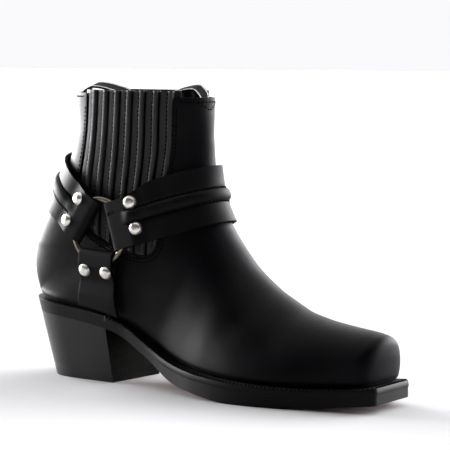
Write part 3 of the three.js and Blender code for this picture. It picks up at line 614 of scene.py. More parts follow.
def build_insole(leather):
    """The insole, with its filling reaching down inside the welt, its sides and underside given the
    near-black thread finish as painted shade.
    """
    def room(x):
        return ledge(x) + WALL + INSOLE_ROOM

    places = bottom_places(0.0, LENGTH, INSOLE_BACK, room(LENGTH))
    places = [x for x in places if outline(1, x, room(x)) > 0.2]
    bm = slab(places, lambda x: sole_top(x) + INSOLE_THICKNESS, lambda x: sole_top(x) - FILLING, room)
    bm.normal_update()
    # Painted shade: faces that do not look up take the near-black thread finish, so the insole's edge in
    # the gap by the welt reads dark.
    for face in bm.faces:
        face.material_index = 0 if face.normal.z > 0.5 else 1
    finish_mesh(bm, "insole_leather", [leather, finish("thread")], ["insole"], 30.0)


# The upper and its side panels

def gusset_outline():
    """The side opening's outline in side view, as points from the collar's back to its front."""
    along = smooth_curve(range(len(GUSSET_EDGE)), [a for a, _ in GUSSET_EDGE])
    up = smooth_curve(range(len(GUSSET_EDGE)), [u for _, u in GUSSET_EDGE])
    count = 140
    points = []
    for k in range(count + 1):
        t = (len(GUSSET_EDGE) - 1) * k / count
        points.append(Vector((along(t) * LENGTH, up(t) * COLLAR_HEIGHT)))
    return points


GUSSET_LINE = gusset_outline()
GUSSET_TREE = KDTree(len(GUSSET_LINE))
for _number, _point in enumerate(GUSSET_LINE):
    GUSSET_TREE.insert((*_point, 0.0), _number)
GUSSET_TREE.balance()


def gusset_distance(x, z):
    """How far a point lies inside the opening (negative outside), and its edge's nearest point."""
    here = Vector((x, z))
    _, nearest, _ = GUSSET_TREE.find((x, z, 0.0))
    best, spot, turn = 1e9, here, 1.0
    for k in range(max(0, nearest - 1), min(nearest + 1, len(GUSSET_LINE) - 1)):
        a = GUSSET_LINE[k]
        run = GUSSET_LINE[k + 1] - a
        near = a + run * clamp((here - a).dot(run) / run.length_squared)
        gap = (here - near).length
        if gap < best:
            best, spot = gap, near
            turn = run.x * (z - a.y) - run.y * (x - a.x)
    return (best if turn > 0 else -best), spot


# Soft folds of the upper: start and end in side view, half width, depth, and the sides that have them
FOLDS = [
    ((196, 96), (170, 66), 14.0, 0.3, (-1, 1)),
    ((214, 84), (196, 50), 11.0, 0.5, (-1, 1)),
    ((236, 72), (226, 44), 10.0, 0.35, (-1, 1)),
    ((84, 92), (112, 58), 22.0, 0.12, (-1,)),
]


def fold_depth(point):
    depth = 0.0
    for start, end, wide, deep, sides in FOLDS:
        if (-1 if point.y < 0 else 1) not in sides:
            continue
        a, b = Vector(start), Vector(end)
        here = Vector((point.x, point.z))
        run = b - a
        t = (here - a).dot(run) / run.length_squared
        gap = (here - (a + run * clamp(t))).length / wide
        depth += deep * math.exp(-gap * gap * 1.6)
    return depth


# How far the lower edge turns in where it is sewn to the welt, and over what height
TUCK = 2.0
TUCK_HEIGHT = 4.5


def dressed_upper():
    """The face's points with their soft folds, and the lower edge turned in."""
    wide = len(UPPER_GRID[0])
    rows = []
    for j, row in enumerate(UPPER_GRID):
        moved = []
        for i, point in enumerate(row):
            normal = FACE.normals[j * wide + i]
            place = point - normal * fold_depth(point)
            rise = point.z - sole_top(clamp(point.x, 0, LENGTH)) - GAP
            if rise < TUCK_HEIGHT:
                inward = Vector((-normal.x, -normal.y, 0.0))
                if inward.length > 0.1:
                    place += inward.normalized() * TUCK * (1 - max(0.0, rise) / TUCK_HEIGHT) ** 2
            moved.append(place)
        rows.append(moved)
    return rows


def gusset_near(point):
    """Whether a point may lie in a side opening, which spares the slow search for most of them."""
    return 40 < point.x < 145 and point.z > 80


def at_heel(point):
    """Whether a point lies on the heel's back, above the tuck and below the straps."""
    return point.x < 70 and TUCK_HEIGHT + 1 < point.z - sole_top(max(0.0, point.x)) and point.z < 96


def build_upper(leather, lining):
    """The leather with its side openings cut out, the cut edges drawn to the outline, the heel smoothed."""
    bm = grid_sheet(dressed_upper())
    bmesh.ops.remove_doubles(bm, verts=bm.verts[:], dist=MERGE)
    own = {vert: vert.co / MM - SHIFT for vert in bm.verts}
    doomed = []
    for face in bm.faces:
        middle = face.calc_center_median() / MM - SHIFT
        if gusset_near(middle) and gusset_distance(middle.x, middle.z)[0] > 0:
            doomed.append(face)
    gone = set(doomed)
    edge = {v for face in doomed for v in face.verts if any(f not in gone for f in v.link_faces)}
    for vert in edge:
        here = own[vert]
        _, spot = gusset_distance(here.x, here.z)
        side = -1 if here.y < 0 else 1
        at, _ = on_side(side, spot.x, min(spot.y, here.z + 2))
        if at is not None and abs(at.z - here.z) < 4:
            vert.co = metres(at)
    bmesh.ops.delete(bm, geom=doomed, context="FACES")
    bmesh.ops.dissolve_degenerate(bm, dist=2e-5, edges=bm.edges[:])
    heel = [vert for vert in bm.verts if at_heel(vert.co / MM - SHIFT)]
    for _ in range(30):
        bmesh.ops.smooth_vert(
            bm,
            verts=heel,
            factor=0.5,
            use_axis_x=True,
            use_axis_y=True,
            use_axis_z=True,
        )
    face_outwards(bm, Vector((200, -40, 50)), Vector((0, -1, 0)))
    made = finish_mesh(bm, "upper_leather", [leather, lining], ["upper"], 50.0)
    add_wall(made, WALL - 0.1, 0, 1)
    add_bevel(made, 0.4, 55.0)


# Height of a tuck over the ground between them, by the share of one pleat
PLEAT_PROFILE = [
    (0.0, -0.5),
    (0.03, -0.3),
    (0.07, 0.18),
    (0.3, 0.34),
    (0.57, 0.3),
    (0.6, 0.42),
    (0.65, 0.86),
    (0.72, 1.0),
    (0.85, 1.0),
    (0.93, 0.84),
    (0.965, -0.2),
    (0.98, -0.5),
    (1.0, -0.5),
]
PLEAT_STEPS = 22
PLEAT_MARGIN = 0.35  # how far a panel goes in under the upper, in pleats
# Where a pleat shows its grey: the middle and half width of its tuck, paler there as painted highlight, and
# of its ground, as shares of the pleat; elsewhere it is painted black as crease shade
TUCK_HIGHLIGHT = (0.79, 0.16)
GROUND_UNSHADED = (0.35, 0.24)
PANEL_FOOT = 0.412 * COLLAR_HEIGHT
PANEL_ROWS = 84


def pleat_height(share):
    for (a, low), (b, high) in zip(PLEAT_PROFILE, PLEAT_PROFILE[1:]):
        if share <= b:
            return lerp(low, high, (share - a) / (b - a))
    return 0.0


def gusset_edge(rows):
    """One upright edge of the side opening: how far along it lies at a height."""
    return smooth_curve([up for _, up in rows], [along for along, _ in rows])


GUSSET_BACK = gusset_edge(GUSSET_EDGE[2::-1])
GUSSET_FRONT = gusset_edge(GUSSET_EDGE[-4:])


def pleat_x(pleat, z):
    """Where a pleat lies at height z. pleat counts pleats from the back."""
    up = max(z / COLLAR_HEIGHT, 0.5)
    return lerp(GUSSET_BACK(up), GUSSET_FRONT(up), pleat / PLEATS) * LENGTH


def gusset_point(side, pleat, z):
    """A point of a side panel's face, with its outward normal."""
    x = pleat_x(pleat, z)
    z_face = min(z, 0.978 * COLLAR_HEIGHT)
    at, normal = on_side(side, x, z_face)
    inside, _ = gusset_distance(x, z)
    height = pleat_height(pleat - math.floor(pleat))
    proud = lerp(-GUSSET_VALLEY, GUSSET_RIDGE, height)
    out = lerp(-WALL - 0.3, proud, step(inside, -0.4, 1.6))
    return at + normal * out + Vector((0, 0, z - z_face)), normal


def build_gusset(side, name, node, leather, lining):
    """A pleated panel, its margins under the upper, its rows closer together at the foot."""
    pleats = [-PLEAT_MARGIN, -PLEAT_MARGIN / 2]
    pleats += [k / PLEAT_STEPS for k in range(PLEATS * PLEAT_STEPS + 1)]
    pleats += [PLEATS + PLEAT_MARGIN / 2, PLEATS + PLEAT_MARGIN]
    rows = []
    for j in range(PANEL_ROWS + 1):
        z = lerp(PANEL_FOOT, COLLAR_HEIGHT + GUSSET_RISE, (j / PANEL_ROWS) ** 1.25)
        rows.append([gusset_point(side, pleat, z)[0] for pleat in pleats])
    bm = grid_sheet(rows)
    face_outwards(bm, on_side(side, RING_X + 10, 160)[0], Vector((0, side, 0)))
    made = finish_mesh(bm, name, [leather, lining], [node], 50.0)
    add_wall(made, 0.9, 0, 1)


# The harness

class Ring:
    """A ring beside the ankle: its plane's axes are the boot's length and height laid into it, and out."""

    def __init__(self, side):
        point, normal = on_side(side, RING_X, RING_Z)
        self.side = side
        self.out = normal
        self.up = (Vector((0, 0, 1)) - normal * normal.z).normalized()
        along = Vector((1, 0, 0)) - normal * normal.x
        along -= self.up * along.dot(self.up)
        self.along = along.normalized()
        self.centre = point + normal * (GUSSET_RIDGE + 6 * GAP + STRAP_THICKNESS + WIRE / 2)


RINGS = {"outer": Ring(-1), "inner": Ring(1)}
POCKET_HALF = WIRE / 2 + GAP
FOLD_HALF = POCKET_HALF + STRAP_THICKNESS
NEAR_UPPER = GUSSET_RIDGE + 2 * GAP
SLOPE_RUN = 12.0  # the run over which a strap comes down from its pocket, at the rivets


class Strap:
    """The measures of one kind of strap."""

    def __init__(self, degrees, reach, shift, fold, wide, rivets, stand, rib):
        self.degrees, self.reach, self.shift = degrees, reach, shift
        self.fold, self.wide, self.rivets = fold, wide, rivets
        self.stand, self.rib = stand, rib


STRAPS = {
    "front": Strap(
        FRONT_RISE, FOLD_REACH, FRONT_SHIFT, FOLD_WIDTH, STRAP_WIDTH, FRONT_RIVETS, FRONT_STAND, RIB_HEIGHT,
    ),
    "back": Strap(
        180 - BACK_RISE, FOLD_REACH, 0.0, FOLD_WIDTH, BACK_WIDTH, BACK_RIVETS, BACK_STAND, RIB_HEIGHT,
    ),
    "lower": Strap(
        270 - LOWER_TILT, LOWER_REACH, 0.0, LOWER_TOP, LOWER_BOTTOM, LOWER_RIVETS, LOWER_STAND, 0.0,
    ),
}


class StrapEnd:
    """One end of a strap at a ring: the direction away from the ring and the one across the strap."""

    def __init__(self, ring, strap):
        a = math.radians(strap.degrees)
        self.ring, self.strap = ring, strap
        self.away = ring.along * math.cos(a) + ring.up * math.sin(a)
        self.across = ring.along * -math.sin(a) + ring.up * math.cos(a)

    def at(self, run, over, high):
        """A point near the ring: run from the fold, over across the strap, high from the ring's plane."""
        strap = self.strap
        flat = self.away * (strap.reach + run) + self.across * (over + strap.shift)
        return self.ring.centre + flat + self.ring.out * high

    def half(self, run, hand):
        """Signed half width on the side hand at run."""
        strap = self.strap
        fold = strap.fold / 2 - hand * strap.shift
        return hand * lerp(fold, strap.wide / 2, step(run, POCKET, POCKET + LAP))

    def flat(self, run):
        """How much of the ring's flat end is left at run, from 1 at the rivets to 0 on the ankle."""
        return 1 - step(run, self.strap.rivets + 5, self.strap.rivets + 27)

    def stand_off(self, run, over, length):
        strap = self.strap
        if not strap.rib:
            return strap.stand * (1 - step(run, LAP, length))
        high = 0.5 + over * math.copysign(1, self.across.z) / strap.wide
        return strap.stand * lerp(0.3, 1, high) * step(run, LAP, 2 * LAP)

    def top(self, run, over, at, normal, length, rib=1.0):
        """The outer face at run, given the upper's face there, and the outward direction."""
        strap = self.strap
        flat = self.flat(run)
        thick = STRAP_THICKNESS * lerp(2, 1, step(run, LAP - 1, 2 * LAP))
        slope = clamp((run - strap.rivets + 4) / SLOPE_RUN)
        slope = slope * slope * (3 - 2 * slope) * 0.35 + slope * 0.65
        low = -FOLD_HALF
        high = lerp(FOLD_HALF, low + thick, slope)
        lift = NEAR_UPPER + self.stand_off(run, over, length)
        laid = at + normal * (lift + thick)
        held = self.at(run, over, high)
        outward = normal.lerp(self.ring.out, flat).normalized()
        ribbed = strap.rib * rib_profile(over) * step(run, 14, 24) * rib
        return laid.lerp(held, flat) + outward * ribbed, outward

    def under(self, run, over, at, normal, length):
        """The face of the folded back end that lies against the boot."""
        laid = at + normal * (NEAR_UPPER + self.stand_off(run, over, length))
        return laid.lerp(self.at(run, over, -FOLD_HALF), self.flat(run))


def rib_profile(over):
    share = abs(over) / (RIB_WIDTH / 2)
    groove = -0.16 * math.exp(-((share - 1.12) / 0.16) ** 2)
    return math.sqrt(max(0.0, 1 - share ** 2)) + groove


def strap_columns():
    """Places across an ankle strap as shares of its half width, or as millimetres near the rib."""
    edge = [-1, -0.97, -0.93, -0.85, -0.74, -0.62, -0.5, -0.4]
    near = [-6.2, -5.6, -5.2, -4.9, -4.6, -4.35, -4.0, -3.4, -2.6, -1.7, -0.8]
    half = [("share", s) for s in edge] + [("over", n) for n in near]
    return half + [("over", 0.0)] + [(kind, -value) for kind, value in reversed(half)]


class AnkleLine:
    """The way of a strap round the ankle from ring to ring, found by rays from the middle."""

    def __init__(self, strap):
        a = math.radians(strap.degrees)
        self.strap = strap
        self.hand = math.copysign(1, math.cos(a))
        self.ahead = Vector((math.cos(a), 0, math.sin(a)))
        self.upward = Vector((-math.sin(a), 0, math.cos(a))) * self.hand
        self.middle = Vector((RING_X, 0, RING_Z)) + self.upward * strap.shift
        self.start = math.atan2(SHAFT_WIDTH / 2, FOLD_REACH)
        self.fine = 160
        self.angles = [lerp(-self.start, self.start, k / self.fine) for k in range(self.fine + 1)]
        self.run = run_along([self.line(0, angle)[0] for angle in self.angles])
        self.total = self.run[-1]
        self.ends = {key: StrapEnd(ring, strap) for key, ring in RINGS.items()}

    def line(self, over, angle):
        aim = self.ahead * math.cos(angle) + Vector((0, math.sin(angle), 0))
        return FACE.cast(self.middle + self.upward * over, aim)

    def angle_at(self, at):
        i = 0
        while i < self.fine - 1 and self.run[i + 1] < at:
            i += 1
        share = (at - self.run[i]) / (self.run[i + 1] - self.run[i])
        return lerp(self.angles[i], self.angles[i + 1], share)

    def nearer(self, at):
        """The nearer end of the strap and the run from it."""
        end = self.ends["outer"] if at < self.total / 2 else self.ends["inner"]
        return end, min(at, self.total - at)

    def place(self, at, over, rib=1.0, under=False):
        """A point of the strap's outer face, or of its folded end's, at a run from the outer ring."""
        end, run = self.nearer(at)
        point, normal = self.line(over, self.angle_at(clamp(at, 0, self.total)))
        signed = self.hand * over
        if under:
            return end.under(run, signed, point, normal, self.total), -normal
        return end.top(run, signed, point, normal, self.total, rib)

    def over_at(self, at, column):
        kind, value = column
        if kind == "over":
            return value
        end, run = self.nearer(at)
        return abs(value) * end.half(run, math.copysign(1, value))


def fold_steps():
    return [math.pi * k / 10 for k in range(1, 10)]


def strap_strip(line, kinds):
    """Rows of points for a strap from under itself round one ring, to the other, and back under itself."""
    lap = [LAP, LAP - 3, 25, 21, 18, 15, 11.5, 8, FOLD_HALF]
    near = [FOLD_HALF, 6, 8, 10, 12, 13.5, 15, 16.5, 18, 20, 22, 24, 26, 28, 30, 32]
    start, count = near[-1] + 2, 84
    runs = near + [lerp(start, line.total - start, k / count) for k in range(count + 1)]
    runs += [line.total - r for r in reversed(near)]
    rows = []

    def arc(end, theta, far):
        run = FOLD_HALF - FOLD_HALF * math.sin(theta)
        row = []
        for kind in kinds:
            over = line.hand * line.over_at(line.total - run if far else run, kind)
            row.append(end.at(run, over, FOLD_HALF * -math.cos(theta)))
        return row

    for run in lap:
        rows.append([line.place(run, line.over_at(run, kind), under=True)[0] for kind in kinds])
    rows += [arc(line.ends["outer"], theta, False) for theta in fold_steps()]
    for run in runs:
        rows.append([line.place(run, line.over_at(run, kind))[0] for kind in kinds])
    rows += [arc(line.ends["inner"], theta, True) for theta in reversed(fold_steps())]
    for run in reversed(lap):
        at = line.total - run
        rows.append([line.place(at, line.over_at(at, kind), under=True)[0] for kind in kinds])
    return rows


def make_strap(rows, name, node, probe, outward, leather):
    """A strap of strap leather with duller cut edges, its outer face turned outward at probe."""
    bm = grid_sheet(rows)
    face_outwards(bm, probe, outward)
    made = finish_mesh(bm, name, [leather, finish("strap_rim")], [node])
    add_wall(made, STRAP_THICKNESS, 1, 0)
    add_bevel(made, 0.45)


def build_ankle_strap(name, node, line, leather):
    at, outward = line.place(line.total / 2, 0.0)
    make_strap(strap_strip(line, strap_columns()), name, node, at, outward, leather)


def build_lower_strap(name, node, ring, leather):
    end = StrapEnd(ring, STRAPS["lower"])

    def reach(over):
        x = RING_X + over - math.tan(math.radians(LOWER_TILT)) * (RING_Z - SEAT_HEIGHT)
        return RING_Z - LOWER_REACH - sole_top(x) - GAP

    total = reach(0)

    def side_half(run, hand):
        return abs(hand) * end.half(run, math.copysign(1, hand))

    def spot(middle, hand, under=False):
        over = side_half(middle, hand)
        run = lerp(middle, middle * reach(over) / total, step(middle, LAP, total))
        probe = end.at(run, over, 0)
        at, normal = on_side(ring.side, probe.x, max(probe.z, sole_top(probe.x) + WELT_THICKNESS))
        if under:
            return end.under(run, over, at, normal, reach(over))
        place, _ = end.top(run, over, at, normal, reach(over))
        place.z = max(place.z, sole_top(place.x) + GAP)
        return place

    def arc(theta, hand):
        run = FOLD_HALF - FOLD_HALF * math.sin(theta)
        return end.at(run, side_half(run, hand), FOLD_HALF * -math.cos(theta))

    hands = [k / 10 for k in range(-10, 11)]
    lap = [LAP, LAP - 3, 25, 21, 18, 14, 10, 7, FOLD_HALF]
    rows = [[spot(run, hand, True) for hand in hands] for run in lap]
    rows += [[arc(theta, hand) for hand in hands] for theta in fold_steps()]
    rows += [[spot(lerp(FOLD_HALF, total, k / 30), hand) for hand in hands] for k in range(31)]
    make_strap(rows, name, node, end.at(10, 0, FOLD_HALF), ring.out, leather)


def turned_piece(bm, steps, placing, name, node, metal):
    """Turns a profile round its z axis, closes it and sets it in place."""
    bmesh.ops.spin(
        bm,
        geom=bm.verts[:] + bm.edges[:],
        cent=(0, 0, 0),
        axis=(0, 0, 1),
        angle=2 * math.pi,
        steps=steps,
        use_merge=True,
    )
    bmesh.ops.remove_doubles(bm, verts=bm.verts[:], dist=MERGE)
    bmesh.ops.holes_fill(bm, edges=bm.edges[:])
    bmesh.ops.transform(bm, matrix=placing, verts=bm.verts[:])
    bmesh.ops.recalc_face_normals(bm, faces=bm.faces[:])
    finish_mesh(bm, name, [metal], [node])


def build_ring(name, node, ring, metal):
    bm = bmesh.new()
    turn = Matrix.Translation((RING_RADIUS * MM, 0, 0)) @ Matrix.Rotation(math.pi / 2, 4, "X")
    bmesh.ops.create_circle(bm, segments=14, radius=WIRE / 2 * MM, matrix=turn)
    axes = Matrix((ring.along, ring.up, ring.out)).transposed().to_4x4()
    turned_piece(bm, 72, Matrix.Translation(metres(ring.centre)) @ axes, name, node, metal)


# A rivet's cap: radius as a share of its width, and height as a share of its own, from the leather
RIVET_PROFILE = [
    (0.5, -0.25),
    (0.5, 0.12),
    (0.478, 0.2),
    (0.455, 0.36),
    (0.42, 0.56),
    (0.36, 0.76),
    (0.26, 0.91),
    (0.13, 0.98),
    (0.0, 1.0),
]


def build_rivet(name, node, end, hand, metal):
    slope = (2 * FOLD_HALF - 2 * STRAP_THICKNESS) / SLOPE_RUN
    out = (end.ring.out + end.away * slope).normalized()
    seat = end.at(end.strap.rivets, hand * RIVET_SPREAD / 2, FOLD_HALF - 4 * slope)
    bm = bmesh.new()
    verts = [bm.verts.new((r * RIVET * MM, 0, h * RIVET_HEIGHT * MM)) for r, h in RIVET_PROFILE]
    for pair in zip(verts, verts[1:]):
        bm.edges.new(pair)
    turn = Vector((0, 0, 1)).rotation_difference(out).to_matrix().to_4x4()
    turned_piece(bm, 32, Matrix.Translation(metres(seat)) @ turn, name, node, metal)


# The pull loops

COLLAR_MIDDLE = (SECTION["headX"](LAST_ROW) + SECTION["footX"](LAST_ROW)) / 2 * LENGTH
COLLAR_FRONT = SECTION["headZ"](LAST_ROW) * COLLAR_HEIGHT
COLLAR_BACK = SECTION["footZ"](LAST_ROW) * COLLAR_HEIGHT
WEB_ACROSS = 14


class LoopPath:
    """A loop of webbing up inside the collar, over and back down. ahead is 1 in front and -1 behind."""

    def __init__(self, ahead, share, rise):
        turn, tilt = math.radians(LOOP_TURN), math.radians(LOOP_TILT)
        inwards = Vector((-math.cos(turn), -math.sin(turn), 0)) * ahead
        self.width = Vector((-inwards.y, inwards.x, -ahead * math.tan(tilt))).normalized() * (WEB_WIDTH / 2)
        rim = COLLAR_FRONT if ahead > 0 else COLLAR_BACK

        def reach(over, drop):
            start = Vector((COLLAR_MIDDLE, ahead * LOOP_SIDE, 0)) + self.width * over
            start.z = rim - drop
            at, _ = FACE.cast(start, Vector((ahead, 0, 0)))
            return ahead * (at.x - self.width.x * over)

        drops = [2 * GAP, LOOP_DROP / 2, LOOP_DROP * 1.1]
        wall = min(reach(over, drop) for drop in drops for over in (-1, 0, 1))
        seat = ahead * (wall - 1.3 * WALL - WEB_THICKNESS - GAP)
        base = Vector((seat, ahead * LOOP_SIDE, rim))
        shape = [
            (0.03, -LOOP_DROP),
            (0.01, -LOOP_DROP * 0.45),
            (0, 0),
            (share * 0.45, rise * 0.75),
            (share, rise),
            ((1 + share) / 2, rise * 0.6),
            (1, -rise * 0.4),
            (0.8, -LOOP_DROP * 0.62),
            (0.2, -LOOP_DROP * 1.08),
        ]
        points = []
        for depth, height in shape:
            points.append(base + inwards * (depth * LOOP_DEPTH) + Vector((0, 0, height)))
        self.points = spread(self.rounded(points), 110)

    @staticmethod
    def rounded(points):
        """A smooth line through the points."""
        run = [0.0]
        for p, q in zip(points, points[1:]):
            run.append(run[-1] + math.sqrt((q - p).length))
        curves = [smooth_curve(run, [p[k] for p in points]) for k in range(3)]
        return [Vector([curve(run[-1] * i / 240) for curve in curves]) for i in range(241)]


def build_pull_loop(name, node, ahead, share, rise, webbing):
    path = LoopPath(ahead, share, rise)
    rows = []
    for point in path.points:
        rows.append([point + path.width * (2 * k / WEB_ACROSS - 1) for k in range(WEB_ACROSS + 1)])
    made = finish_mesh(grid_sheet(rows), name, [webbing], [node])
    add_wall(made, WEB_THICKNESS)
    made.modifiers["wall"].offset = 0.0
    add_bevel(made, 0.4)


# Seams

def stitch_matrix(at, along, out, long, wide):
    """Where a stitch lies: its length along the seam, its thickness out from the leather."""
    z = along.normalized()
    x = out.cross(z).normalized()
    y = z.cross(x)
    turn = Matrix((x, y, z)).transposed().to_4x4()
    size = Matrix.Diagonal((wide * MM / 2, wide * MM / 2, long * MM / 2, 1))
    return Matrix.Translation(metres(at)) @ turn @ size


def seam_places(line, pitch):
    """Places one pitch apart along a line of (point, outward normal), with their directions."""
    run = run_along([point for point, _ in line])
    count = max(1, int(run[-1] / pitch))
    places = []
    i = 0
    for k in range(count):
        at = (k + 0.5) * run[-1] / count
        while i < len(run) - 2 and run[i + 1] < at:
            i += 1
        share = (at - run[i]) / ((run[i + 1] - run[i]) or 1.0)
        p, n = line[i]
        q, m = line[i + 1]
        places.append((p.lerp(q, share), q - p, n.lerp(m, share).normalized()))
    return places


def add_stitches(bm, matrices):
    """Stitches sewn a few at a time, which is quicker than one long row."""
    for first in range(0, len(matrices), 24):
        few = bmesh.new()
        for matrix in matrices[first:first + 24]:
            bmesh.ops.create_uvsphere(few, u_segments=6, v_segments=4, radius=1.0, matrix=matrix)
        part = bpy.data.meshes.new("stitches")
        few.to_mesh(part)
        few.free()
        bm.from_mesh(part)
        bpy.data.meshes.remove(part)


def offset_outline(out):
    """The side opening's outline moved out from it, in side view."""
    moved = []
    for i, point in enumerate(GUSSET_LINE):
        ahead = GUSSET_LINE[min(i + 1, len(GUSSET_LINE) - 1)]
        behind = GUSSET_LINE[max(i - 1, 0)]
        run = (ahead - behind).normalized()
        moved.append(point + Vector((run.y, -run.x)) * out)
    return moved


def outline_seam(side, out, top):
    """A seam round the side opening, up to a height given as a share of the collar's."""
    line = []
    for point in offset_outline(out):
        if point.y > top * COLLAR_HEIGHT:
            continue
        at, normal = on_side(side, point.x, point.y)
        line.append((at - normal * fold_depth(at), normal))
    return line


def collar_seam(below, from_angle, to_angle):
    """A seam round the collar between two angles seen from above, 0 at the toe's side."""
    line = []
    for k in range(61):
        angle = math.radians(lerp(from_angle, to_angle, k / 60))
        rim = lerp(COLLAR_BACK, COLLAR_FRONT, 0.5 + 0.5 * math.cos(angle))
        start = Vector((COLLAR_MIDDLE, 0, rim - below))
        at, normal = FACE.cast(start, Vector((math.cos(angle), math.sin(angle), 0)))
        if gusset_distance(at.x, at.z)[0] < -2.5:
            line.append((at, normal))
    return line


def patch_seam():
    """The pointed tab stitched at the middle of the collar's front."""
    line = []
    corners = [(-8.0, 3.3), (0.0, 8.8), (8.0, 3.3)]
    for (y0, drop0), (y1, drop1) in zip(corners, corners[1:]):
        for k in range(13):
            y, drop = lerp(y0, y1, k / 12), lerp(drop0, drop1, k / 12)
            start = Vector((COLLAR_MIDDLE, y * 0.4, COLLAR_FRONT - drop))
            line.append(FACE.cast(start, Vector((1, y * 0.6 / 37, 0))))
    return line


def rib_seam(line, over):
    """A seam beside a strap's rib, from near one ring to near the other."""
    count = 120
    start, end = RIB_SEAM_START, line.total - RIB_SEAM_START
    return [line.place(lerp(start, end, k / count), over, rib=0.0) for k in range(count + 1)]


def welt_seam(inset_share):
    line = welt_line(lambda x: ledge(x) * inset_share)
    return [(point, Vector((0, 0, 1))) for point in line]


def pleat_seam(side, pleat):
    line = []
    for k in range(61):
        z = lerp(0.44 * COLLAR_HEIGHT, COLLAR_HEIGHT + GUSSET_RISE - 1.0, k / 60)
        if gusset_distance(pleat_x(pleat, z), z)[0] > 1.6:
            line.append(gusset_point(side, pleat, z))
    return line


def build_seams(name, seams, thread, slot, pitch, long, wide, rise=0.38):
    """Seams of stitches that stand rise of their width above the leather."""
    bm = bmesh.new()
    matrices = []
    for seam in seams:
        for at, along, out in seam_places(seam, pitch):
            matrices.append(stitch_matrix(at + out * wide * (rise - 0.5), along, out, long, wide))
    add_stitches(bm, matrices)
    finish_mesh(bm, name, [thread], [])


# Finishes

def node_group(name, inputs, outputs):
    """An empty shader node group with number inputs of (name, value) and number outputs."""
    tree = bpy.data.node_groups.new(name, "ShaderNodeTree")
    for label, value in inputs:
        socket = tree.interface.new_socket(name=label, in_out="INPUT", socket_type="NodeSocketFloat")
        socket.default_value = value
    for label in outputs:
        tree.interface.new_socket(name=label, in_out="OUTPUT", socket_type="NodeSocketFloat")
    return tree, tree.nodes.new("NodeGroupInput"), tree.nodes.new("NodeGroupOutput")


def feed(tree, socket, value):
    """Gives a socket another node's output, a colour or a number."""
    if isinstance(value, bpy.types.NodeSocket):
        tree.links.new(value, socket)
    elif isinstance(value, tuple):
        socket.default_value = (*value, 1.0)
    else:
        socket.default_value = value


def math_node(tree, kind, a, b=None):
    node = tree.nodes.new("ShaderNodeMath")
    node.operation = kind
    feed(tree, node.inputs[0], a)
    if b is not None:
        feed(tree, node.inputs[1], b)
    return node.outputs[0]


def compare(tree, value, middle, reach):
    """1 where a value lies within reach of middle, else 0."""
    made = math_node(tree, "COMPARE", value, middle)
    made.node.inputs[2].default_value = reach
    return made


def noise(tree, vector, scale, detail=3.0, roughness=0.5):
    node = tree.nodes.new("ShaderNodeTexNoise")
    node.inputs["Detail"].default_value = detail
    node.inputs["Roughness"].default_value = roughness
    tree.links.new(vector, node.inputs["Vector"])
    feed(tree, node.inputs["Scale"], scale)
    return node.outputs["Fac"]


def uv_parts(tree):
    """A sheet's own coordinates: the share across it and the share along it."""
    uv = tree.nodes.new("ShaderNodeUVMap")
    uv.uv_map = "UVMap"
    parts = tree.nodes.new("ShaderNodeSeparateXYZ")
    tree.links.new(uv.outputs["UV"], parts.inputs[0])
    return parts.outputs[0], parts.outputs[1]


def object_vector(tree):
    return tree.nodes.new("ShaderNodeTexCoord").outputs["Object"]


def leather_grain():
    """Pebbles and fine pores of leather, and a broad mottle. Scale is pebbles to a metre."""
    if "Leather Grain" in bpy.data.node_groups:
        return bpy.data.node_groups["Leather Grain"]
    tree, start, end = node_group(
        "Leather Grain",
        [("Scale", 900.0), ("Pebble", 0.6), ("Mottle Scale", 22.0)],
        ["Height", "Mottle"],
    )
    vector = object_vector(tree)
    cells = tree.nodes.new("ShaderNodeTexVoronoi")
    cells.feature = "SMOOTH_F1"
    tree.links.new(vector, cells.inputs["Vector"])
    tree.links.new(start.outputs["Scale"], cells.inputs["Scale"])
    pebble = math_node(tree, "MULTIPLY", cells.outputs["Distance"], start.outputs["Pebble"])
    pores = noise(tree, vector, math_node(tree, "MULTIPLY", start.outputs["Scale"], 2.1), 4.0, 0.65)
    waves = noise(tree, vector, math_node(tree, "MULTIPLY", start.outputs["Scale"], 0.12), 3.0)
    height = math_node(tree, "ADD", math_node(tree, "MULTIPLY", pores, 0.45), pebble)
    height = math_node(tree, "ADD", height, math_node(tree, "MULTIPLY", waves, 0.9))
    tree.links.new(height, end.inputs["Height"])
    mottle = noise(tree, vector, start.outputs["Mottle Scale"], 5.0, 0.6)
    tree.links.new(mottle, end.inputs["Mottle"])
    return tree


def material(name, colour, roughness, specular, metallic=0.0):
    made = bpy.data.materials.new(name)
    made.use_nodes = True
    shader = made.node_tree.nodes["Principled BSDF"]
    shader.inputs["Base Color"].default_value = (*colour, 1.0)
    shader.inputs["Roughness"].default_value = roughness
    shader.inputs["Metallic"].default_value = metallic
    shader.inputs["Specular IOR Level"].default_value = specular
    return made, made.node_tree, shader


def place_grain(tree, pebbles, pebble):
    """The leather's grain, with so many pebbles to a metre, standing out so much."""
    node = tree.nodes.new("ShaderNodeGroup")
    node.node_tree = leather_grain()
    node.inputs["Scale"].default_value = pebbles
    node.inputs["Pebble"].default_value = pebble
    return node


def mix_colour(tree, factor, first, second):
    """Two colours mixed, each given as a tuple or as another node's output."""
    node = tree.nodes.new("ShaderNodeMix")
    node.data_type = "RGBA"
    tree.links.new(factor, node.inputs["Factor"])
    feed(tree, node.inputs["A"], first)
    feed(tree, node.inputs["B"], second)
    return node.outputs["Result"]


def spread_value(tree, value, low, high, start=0.3, end=0.7):
    node = tree.nodes.new("ShaderNodeMapRange")
    tree.links.new(value, node.inputs["Value"])
    node.inputs["From Min"].default_value = start
    node.inputs["From Max"].default_value = end
    node.inputs["To Min"].default_value = low
    node.inputs["To Max"].default_value = high
    return node.outputs["Result"]


def add_bump(tree, shader, height, distance):
    bump = tree.nodes.new("ShaderNodeBump")
    bump.inputs["Distance"].default_value = distance
    bump.inputs["Strength"].default_value = 1.0
    tree.links.new(height, bump.inputs["Height"])
    tree.links.new(bump.outputs["Normal"], shader.inputs["Normal"])


